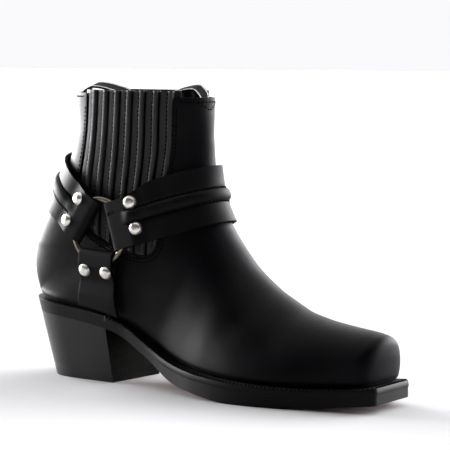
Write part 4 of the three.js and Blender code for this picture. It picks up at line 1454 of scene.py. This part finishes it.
def shade(colour, factor):
    return tuple(min(1.0, c * factor) for c in colour)


def leather_finish(name, colour, rough, pebbles, pebble, depth, lighter, gloss):
    """Leather with grain, a mottled colour and patches that shine more."""
    made, tree, shader = material(name, colour, rough, gloss)
    grain = place_grain(tree, pebbles, pebble)
    mottle = grain.outputs["Mottle"]
    patches = mix_colour(tree, spread_value(tree, mottle, 0.0, 1.0), colour, shade(colour, lighter))
    tree.links.new(patches, shader.inputs["Base Color"])
    tree.links.new(spread_value(tree, mottle, rough - 0.05, rough + 0.06), shader.inputs["Roughness"])
    add_bump(tree, shader, grain.outputs["Height"], depth)
    return made


def upper_finish(sizes, colours):
    """Boot leather with a soft glow along its edges, painted black and matt as shade where its foot goes
    down beside the welt.
    """
    made = leather_finish(
        "boot leather",
        tuple(colours.leather),
        rough=0.45,
        pebbles=800.0,
        pebble=0.5,
        depth=sizes.grain_depth,
        lighter=2.8,
        gloss=0.065,
    )
    tree = made.node_tree
    shader = tree.nodes["Principled BSDF"]
    shader.inputs["Sheen Weight"].default_value = EDGE_GLOW
    shader.inputs["Sheen Roughness"].default_value = 0.35
    across, along = uv_parts(tree)
    # Painted shade: along the front rows the upper's foot beside the welt is made black and fully rough.
    low = math_node(tree, "ABSOLUTE", math_node(tree, "SUBTRACT", across, 0.5))
    front = math_node(tree, "LESS_THAN", along, FOOT_SHADE_ALONG)
    foot = math_node(tree, "MULTIPLY", spread_value(tree, low, 0.0, 1.0, *FOOT_SHADE_ACROSS), front)
    # A paler colour mixed in near HAZE_AT, fading out between the two HAZE_REACH distances.
    away = tree.nodes.new("ShaderNodeVectorMath")
    away.operation = "DISTANCE"
    away.inputs[1].default_value = metres(Vector(HAZE_AT))
    tree.links.new(object_vector(tree), away.inputs[0])
    near = spread_value(tree, away.outputs["Value"], HAZE, 0.0, *HAZE_REACH)
    plain = shader.inputs["Base Color"].links[0].from_socket
    with_pale_patch = mix_colour(tree, near, plain, tuple(colours.haze))
    inked = mix_colour(tree, foot, with_pale_patch, (0.0, 0.0, 0.0))
    tree.links.new(inked, shader.inputs["Base Color"])
    rough = math_node(tree, "MAXIMUM", shader.inputs["Roughness"].links[0].from_socket, foot)
    tree.links.new(rough, shader.inputs["Roughness"])
    return made


def pleat_finish(sizes, colours):
    """The side panels' grey leather: paler on the tucks as painted highlight, painted black as shade in the
    creases between them.
    """
    made, tree, shader = material("pleat leather", tuple(colours.leather), 0.5, 0.18)
    grain = place_grain(tree, 800.0, 0.5)
    across, _ = uv_parts(tree)
    column = math_node(tree, "MULTIPLY", across, PLEATS * PLEAT_STEPS + 4.0)
    share = math_node(tree, "DIVIDE", math_node(tree, "SUBTRACT", column, 2.0), float(PLEAT_STEPS))
    tuck = math_node(tree, "FRACT", share)
    tuck_painted_light = compare(tree, tuck, *TUCK_HIGHLIGHT)
    level = compare(tree, tuck, *GROUND_UNSHADED)
    unshaded_mask = math_node(tree, "ADD", tuck_painted_light, math_node(tree, "MULTIPLY", level, 0.7))
    unshaded_mottled = math_node(tree, "MULTIPLY", unshaded_mask, spread_value(tree, grain.outputs["Mottle"], 0.5, 1.0))
    # Painted shade and highlight: the creases take a near-black copy of the leather, and the tucks' grey is
    # paler than the ground's.
    colour = mix_colour(tree, unshaded_mottled, shade(tuple(colours.leather), 0.15), tuple(colours.pleat))
    tree.links.new(colour, shader.inputs["Base Color"])
    add_bump(tree, shader, grain.outputs["Height"], sizes.grain_depth)
    return made


def welt_finish(sizes, colours):
    """The welt: inked like the edge at its rim, painted dull black as shade in the channel beside the
    upper.
    """
    made, tree, shader = material("inked welt", tuple(colours.edge), 0.45, 0.1)
    across, _ = uv_parts(tree)
    # Painted shade: the welt's inner part by the upper is made near black and fully rough.
    channel = spread_value(tree, across, 0.0, 1.0, 0.25, 0.4)
    colour = mix_colour(tree, channel, tuple(colours.edge), shade(tuple(colours.edge), 0.1))
    tree.links.new(colour, shader.inputs["Base Color"])
    tree.links.new(spread_value(tree, channel, 0.45, 1.0, 0.0, 1.0), shader.inputs["Roughness"])
    grain = place_grain(tree, 500.0, 0.12)
    add_bump(tree, shader, grain.outputs["Height"], sizes.grain_depth * 0.6)
    return made


def stack_finish(sizes, colours):
    """The heel's front: layers of leather, worn and dull."""
    made, tree, shader = material("heel layers", tuple(colours.stack), 0.85, 0.03)
    vector = object_vector(tree)
    stretch = tree.nodes.new("ShaderNodeMapping")
    stretch.inputs["Scale"].default_value = (40.0, 40.0, 420.0)
    tree.links.new(vector, stretch.inputs["Vector"])
    lines = noise(tree, stretch.outputs["Vector"], 1.0, 4.0, 0.6)
    patches = noise(tree, vector, 90.0, 5.0, 0.65)
    mask = spread_value(tree, math_node(tree, "MULTIPLY", lines, patches), 0.0, 1.0, 0.18, 0.34)
    colour = mix_colour(tree, mask, shade(tuple(colours.stack), 0.12), shade(tuple(colours.stack), 0.9))
    tree.links.new(colour, shader.inputs["Base Color"])
    add_bump(tree, shader, lines, sizes.grain_depth * 7)
    return made


def thread_finish(sizes, colours):
    made, tree, shader = material("waxed thread", tuple(colours.thread), 0.9, 0.04)
    add_bump(tree, shader, noise(tree, object_vector(tree), 2600.0, 2.0), 0.00012)
    return made


def webbing_finish(sizes, colours):
    """Ribbed black webbing with a pale line woven along both edges."""
    made, tree, shader = material("webbing", tuple(colours.webbing), 0.9, 0.05)
    across, along = uv_parts(tree)
    ribs = math_node(tree, "SINE", math_node(tree, "MULTIPLY", along, 2 * math.pi * 95))
    cords = math_node(tree, "SINE", math_node(tree, "MULTIPLY", across, 2 * math.pi * 11))
    weave = math_node(tree, "MULTIPLY", ribs, cords)
    away = math_node(tree, "ABSOLUTE", math_node(tree, "SUBTRACT", across, 0.5))
    dashes = math_node(tree, "GREATER_THAN", ribs, -0.35)
    mask = math_node(tree, "MULTIPLY", compare(tree, away, 0.4, 0.05), dashes)
    colour = mix_colour(tree, mask, tuple(colours.webbing), tuple(colours.webbing_edge))
    tree.links.new(colour, shader.inputs["Base Color"])
    add_bump(tree, shader, weave, 0.00025)
    return made


def metal_finish(name, colour, rough):
    """Plated metal, duller where it is worn."""
    made, tree, shader = material(name, colour, rough, 0.5, metallic=1.0)
    vector = object_vector(tree)
    wear = noise(tree, vector, 260.0, 5.0, 0.6)
    tree.links.new(spread_value(tree, wear, rough - 0.06, rough + 0.08), shader.inputs["Roughness"])
    worn = mix_colour(tree, spread_value(tree, wear, 0.0, 1.0), colour, shade(colour, 0.86))
    tree.links.new(worn, shader.inputs["Base Color"])
    add_bump(tree, shader, noise(tree, vector, 900.0, 3.0), 0.00002)
    return made


# The finishes with ways of their own
FINISHES = {
    "upper": upper_finish,
    "pleat": pleat_finish,
    "welt": welt_finish,
    "stack": stack_finish,
    "thread": thread_finish,
    "webbing": webbing_finish,
}
# Plain finishes: name, colour, share of it, roughness, pebbles to a metre, force, depth, patches, gloss
PLAIN_FINISHES = {
    "strap": ("strap leather", "strap", 1.0, 0.52, 950.0, 0.35, 0.8, 1.5, 0.085),
    "strap_rim": ("strap rim", "strap", 0.6, 0.7, 950.0, 0.2, 1.0, 1.3, 0.03),
    "lining": ("lining leather", "lining", 1.0, 0.7, 600.0, 0.4, 1.0, 1.4, LEATHER_GLOSS),
    "dark_lining": ("dark lining", "dark_lining", 1.0, 0.75, 600.0, 0.4, 1.0, 1.4, LEATHER_GLOSS),
    "edge": ("inked edge", "edge", 1.0, 0.36, 500.0, 0.12, 0.6, 1.6, 0.27),
    "sole_edge": ("inked sole edge", "edge", 1.0, 0.4, 500.0, 0.12, 0.6, 1.3, 0.1),
    "mark": ("wheeled marks", "edge", 0.3, 0.7, 500.0, 0.12, 1.0, 1.6, 0.04),
    "tan": ("tan sole leather", "tan", 1.0, 0.55, 420.0, 0.3, 1.0, 0.7, LEATHER_GLOSS),
    "tread": ("heel rubber", "edge", 1.0, 0.65, 300.0, 0.7, 1.0, 1.8, LEATHER_GLOSS),
}
# Metals: name and roughness
METAL_FINISHES = {
    "nickel": ("nickel plate", 0.36),
    "ring": ("ring wire", 0.32),
}
_made_finishes = {}


def make_finish(key, sizes, colours):
    if key in FINISHES:
        return FINISHES[key](sizes, colours)
    if key in METAL_FINISHES:
        name, rough = METAL_FINISHES[key]
        return metal_finish(name, tuple(getattr(colours, key)), rough)
    name, source, share, rough, pebbles, pebble, depth, lighter, gloss = PLAIN_FINISHES[key]
    colour = shade(tuple(getattr(colours, source)), share)
    return leather_finish(name, colour, rough, pebbles, pebble, sizes.grain_depth * depth, lighter, gloss)


def finish(key):
    """The material of that key, made the first time it is asked for."""
    if key not in _made_finishes:
        scene = bpy.context.scene
        _made_finishes[key] = make_finish(key, scene.boot_sizes, scene.boot_colours)
    return _made_finishes[key]


# What a user may change

def length_property(label, description, default, least, precision=4):
    return FloatProperty(
        name=label,
        description=description,
        default=default,
        min=least,
        unit="LENGTH",
        precision=precision,
    )


def colour_property(label, description, default):
    return FloatVectorProperty(
        name=label,
        description=description,
        default=default,
        size=3,
        min=0.0,
        max=1.0,
        subtype="COLOR",
    )


class BootSizes(bpy.types.PropertyGroup):
    grain_depth: length_property("Grain depth", "How deep the leather's grain is", 0.00012, 0.0, 5)
    stitch_pitch: length_property("Stitch pitch", "From one stitch to the next", 0.003, 0.001)
    stitch_length: length_property("Stitch length", "Length of one stitch", 0.0023, 0.0005)
    thread_width: length_property("Thread width", "Thickness of the sewing thread", 0.0014, 0.0002)
    welt_pitch: length_property("Welt mark pitch", "From one mark of the welt to the next", 0.003, 0.001)
    floor_size: length_property("Floor size", "Side of the square floor", 80.0, 1.0, 2)


class BootColours(bpy.types.PropertyGroup):
    haze: colour_property("Haze", "Paler patch low on the vamp", (0.008, 0.0078, 0.0066))
    leather: colour_property("Upper", "Leather of the upper", (0.0006, 0.0007, 0.001))
    # The pleat colour is the side panels' own grey; the paler tucks and black creases are painted light and
    # shade in the pleat finish.
    pleat: colour_property("Pleats", "Grey of the side panels' tucks and ground", (0.027, 0.027, 0.0285))
    strap: colour_property("Straps", "Leather of the harness", (0.0018, 0.0018, 0.0023))
    edge: colour_property("Edges", "Ink on the sole's and heel's edges", (0.0015, 0.0016, 0.002))
    tan: colour_property("Sole", "Leather under the sole", (0.3, 0.12, 0.07))
    stack: colour_property("Heel front", "Bare layers at the heel's front", (0.003, 0.0031, 0.0019))
    lining: colour_property("Lining", "Lining and insole leather", (0.08, 0.055, 0.035))
    dark_lining: colour_property("Upper's lining", "Lining of the upper", (0.012, 0.011, 0.011))
    thread: colour_property("Thread", "Sewing thread", (0.0006, 0.0006, 0.0007))
    webbing: colour_property("Webbing", "Pull loops", (0.003, 0.003, 0.003))
    webbing_edge: colour_property("Webbing edge", "Line along the webbing's edges", (0.62, 0.62, 0.58))
    nickel: colour_property("Rivets", "Metal of the rivets", (0.8, 0.77, 0.7))
    ring: colour_property("Rings", "Metal of the rings", (0.2, 0.17, 0.125))
    floor: colour_property("Floor", "Floor and background", (0.412, 0.412, 0.418))


# The operators

class BOOT_OT_bottom(bpy.types.Operator):
    """Builds the outsole, heel, welt and insole"""

    bl_idname = "boot.bottom"
    bl_label = "Bottom"

    def execute(self, context):
        build_outsole(finish("sole_edge"), finish("tan"))
        build_heel(finish("edge"), finish("stack"), finish("tread"))
        build_welt(finish("welt"), finish("sole_edge"))
        build_insole(finish("lining"))
        return {"FINISHED"}


class BOOT_OT_upper(bpy.types.Operator):
    """Builds the hollow upper with its side openings"""

    bl_idname = "boot.upper"
    bl_label = "Upper"

    def execute(self, context):
        build_upper(finish("upper"), finish("dark_lining"))
        return {"FINISHED"}


class BOOT_OT_gussets(bpy.types.Operator):
    """Builds the pleated panels in the side openings"""

    bl_idname = "boot.gussets"
    bl_label = "Side panels"

    def execute(self, context):
        build_gusset(-1, "pleats_outer", "gusset_outer", finish("pleat"), finish("dark_lining"))
        build_gusset(1, "pleats_inner", "gusset_inner", finish("pleat"), finish("dark_lining"))
        return {"FINISHED"}


class BOOT_OT_harness(bpy.types.Operator):
    """Builds the straps, rings and rivets"""

    bl_idname = "boot.harness"
    bl_label = "Harness"

    def execute(self, context):
        for kind in ("front", "back"):
            build_ankle_strap(f"harness_{kind}", f"strap_{kind}", AnkleLine(STRAPS[kind]), finish("strap"))
        for where, ring in RINGS.items():
            build_lower_strap(f"harness_lower_{where}", f"strap_lower_{where}", ring, finish("strap"))
            build_ring(f"wire_ring_{where}", f"ring_{where}", ring, finish("ring"))
            for kind, strap in STRAPS.items():
                end = StrapEnd(ring, strap)
                for number, hand in enumerate((-1, 1), 1):
                    tail = f"{kind}_{where}_{number}"
                    build_rivet(f"cap_{tail}", f"rivet_{tail}", end, hand, finish("nickel"))
        return {"FINISHED"}


class BOOT_OT_pull_loops(bpy.types.Operator):
    """Builds the two pull loops of webbing"""

    bl_idname = "boot.pull_loops"
    bl_label = "Pull loops"

    def execute(self, context):
        webbing = finish("webbing")
        build_pull_loop("loop_back", "pull_loop_back", -1, BACK_LOOP_LEAN, BACK_LOOP_RISE, webbing)
        build_pull_loop("loop_front", "pull_loop_front", 1, FRONT_LOOP_LEAN, FRONT_LOOP_RISE, webbing)
        return {"FINISHED"}


class BOOT_OT_seams(bpy.types.Operator):
    """Sews the upper, the side panels, the straps and the welt"""

    bl_idname = "boot.seams"
    bl_label = "Seams"

    def execute(self, context):
        sizes = context.scene.boot_sizes
        stitch = (sizes.stitch_pitch, sizes.stitch_length, sizes.thread_width)
        pitch, long, wide = (size / MM for size in stitch)
        upper = [outline_seam(side, OPENING_SEAM, OPENING_SEAM_TOP) for side in (-1, 1)]
        upper += [outline_seam(side, FOOT_SEAM, FOOT_SEAM_TOP) for side in (-1, 1)]
        upper += [collar_seam(COLLAR_SEAM, -60, 60), collar_seam(COLLAR_SEAM, 120, 240), patch_seam()]
        build_seams("seams_upper", upper, finish("thread"), "leather", pitch, long, wide)
        tucks = [pleat_seam(side, p + 0.55) for side in (-1, 1) for p in range(PLEATS)]
        build_seams("seams_pleats", tucks, finish("thread"), "leather", pitch, long, wide)
        ribs = []
        for kind in ("front", "back"):
            line = AnkleLine(STRAPS[kind])
            ribs += [rib_seam(line, over) for over in (-RIB_SEAM, RIB_SEAM)]
        build_seams("seams_straps", ribs, finish("thread"), "strap", pitch, long, wide)
        welt = [welt_seam(WELT_SEAM)]
        build_seams("seams_welt", welt, finish("mark"), "edge", sizes.welt_pitch / MM, *WELT_MARK, 0.36)
        return {"FINISHED"}


class BOOT_OT_stage(bpy.types.Operator):
    """Sets the pale floor, the soft lights and the photograph's camera"""

    bl_idname = "boot.stage"
    bl_label = "Stage"

    def execute(self, context):
        scene = context.scene
        build_floor(scene)
        build_lights(scene)
        build_camera(scene)
        return {"FINISHED"}


def build_floor(scene):
    bm = bmesh.new()
    bmesh.ops.create_grid(bm, x_segments=1, y_segments=1, size=scene.boot_sizes.floor_size / 2)
    mesh = bpy.data.meshes.new("floor")
    bm.to_mesh(mesh)
    bm.free()
    made, _, _ = material("floor", tuple(scene.boot_colours.floor), 0.8, 0.0)
    mesh.materials.append(made)
    floor = bpy.data.objects.new("floor", mesh)
    scene.collection.objects.link(floor)


def build_sky(scene):
    """A broad even light from above, which lights the whole floor alike."""
    light = bpy.data.lights.new("overhead", "SUN")
    light.energy = SKY_LIGHT
    light.angle = math.radians(SKY_WIDTH)
    lamp = bpy.data.objects.new("overhead", light)
    lamp.rotation_euler = Vector(SKY_FROM).to_track_quat("Z", "Y").to_euler()
    scene.collection.objects.link(lamp)


def build_world(scene):
    """A white backdrop behind the boot, bright panels to its sides, and a dim room before it."""
    world = bpy.data.worlds.new("studio")
    world.use_nodes = True
    tree = world.node_tree
    background = tree.nodes["Background"]
    around = tree.nodes.new("ShaderNodeTexCoord").outputs["Generated"]
    az = math.radians(CAMERA_AZIMUTH)

    def panel(turn, spread, low, high):
        """Light that grows towards a direction, turned to the right of the camera's view."""
        along = tree.nodes.new("ShaderNodeVectorMath")
        along.operation = "DOT_PRODUCT"
        tree.links.new(around, along.inputs[0])
        side = az - math.radians(turn)
        along.inputs[1].default_value = (-math.sin(side), math.cos(side), 0.0)
        lit = spread_value(tree, along.outputs["Value"], low, high, *spread)
        lit.node.interpolation_type = "SMOOTHSTEP"
        return lit

    behind = panel(0.0, BACKDROP_SPREAD, ROOM_LIGHT, BACKDROP_LIGHT)
    left = panel(-LEFT_TURN, LEFT_SPREAD, 0.0, LEFT_LIGHT)
    right = panel(RIGHT_TURN, RIGHT_SPREAD, 0.0, RIGHT_LIGHT)
    sides = math_node(tree, "ADD", left, right)
    feed(tree, background.inputs["Color"], BACKDROP_COLOUR)
    tree.links.new(math_node(tree, "ADD", behind, sides), background.inputs["Strength"])
    scene.world = world


def build_lights(scene):
    build_world(scene)
    build_sky(scene)
    scene.view_settings.view_transform = "Standard"
    scene.view_settings.look = "None"


def build_camera(scene):
    data = bpy.data.cameras.new("photo_camera")
    data.lens = CAMERA_LENS
    data.sensor_width = SENSOR
    data.clip_start, data.clip_end = 0.05, 100.0
    az, pitch, roll = (math.radians(a) for a in (CAMERA_AZIMUTH, CAMERA_PITCH, CAMERA_ROLL))
    level = math.cos(pitch)
    forward = Vector((-math.sin(az) * level, math.cos(az) * level, -math.sin(pitch)))
    right = Vector((math.cos(az), math.sin(az), 0.0))
    up = right.cross(forward)
    rolled_right = right * math.cos(roll) + up * math.sin(roll)
    rolled_up = up * math.cos(roll) - right * math.sin(roll)
    camera = bpy.data.objects.new("photo_camera", data)
    turn = Matrix((rolled_right, rolled_up, -forward)).transposed().to_4x4()
    camera.matrix_world = Matrix.Translation(metres(Vector(CAMERA_AT))) @ turn
    scene.collection.objects.link(camera)
    scene.camera = camera


OPERATORS = (
    BOOT_OT_bottom,
    BOOT_OT_upper,
    BOOT_OT_gussets,
    BOOT_OT_harness,
    BOOT_OT_pull_loops,
    BOOT_OT_seams,
    BOOT_OT_stage,
)


class BOOT_PT_panel(bpy.types.Panel):
    """Lists the boot's sizes, colours and build steps"""

    bl_idname = "BOOT_PT_panel"
    bl_label = "Harness Ankle Boot"
    bl_space_type = "VIEW_3D"
    bl_region_type = "UI"
    bl_category = "Boot"

    def draw(self, context):
        for group in (context.scene.boot_sizes, context.scene.boot_colours):
            box = self.layout.box()
            for name in type(group).__annotations__:
                box.prop(group, name)
        for operator in OPERATORS:
            self.layout.operator(operator.bl_idname)


CLASSES = (BootSizes, BootColours, *OPERATORS, BOOT_PT_panel)


def register():
    for cls in CLASSES:
        bpy.utils.register_class(cls)
    bpy.types.Scene.boot_sizes = PointerProperty(type=BootSizes)
    bpy.types.Scene.boot_colours = PointerProperty(type=BootColours)


def unregister():
    del bpy.types.Scene.boot_colours
    del bpy.types.Scene.boot_sizes
    for cls in reversed(CLASSES):
        bpy.utils.unregister_class(cls)


def main():
    register()
    bpy.ops.boot.bottom()
    bpy.ops.boot.upper()
    bpy.ops.boot.gussets()
    bpy.ops.boot.harness()
    bpy.ops.boot.pull_loops()
    bpy.ops.boot.seams()
    bpy.ops.boot.stage()


if __name__ == "__main__":
    main()
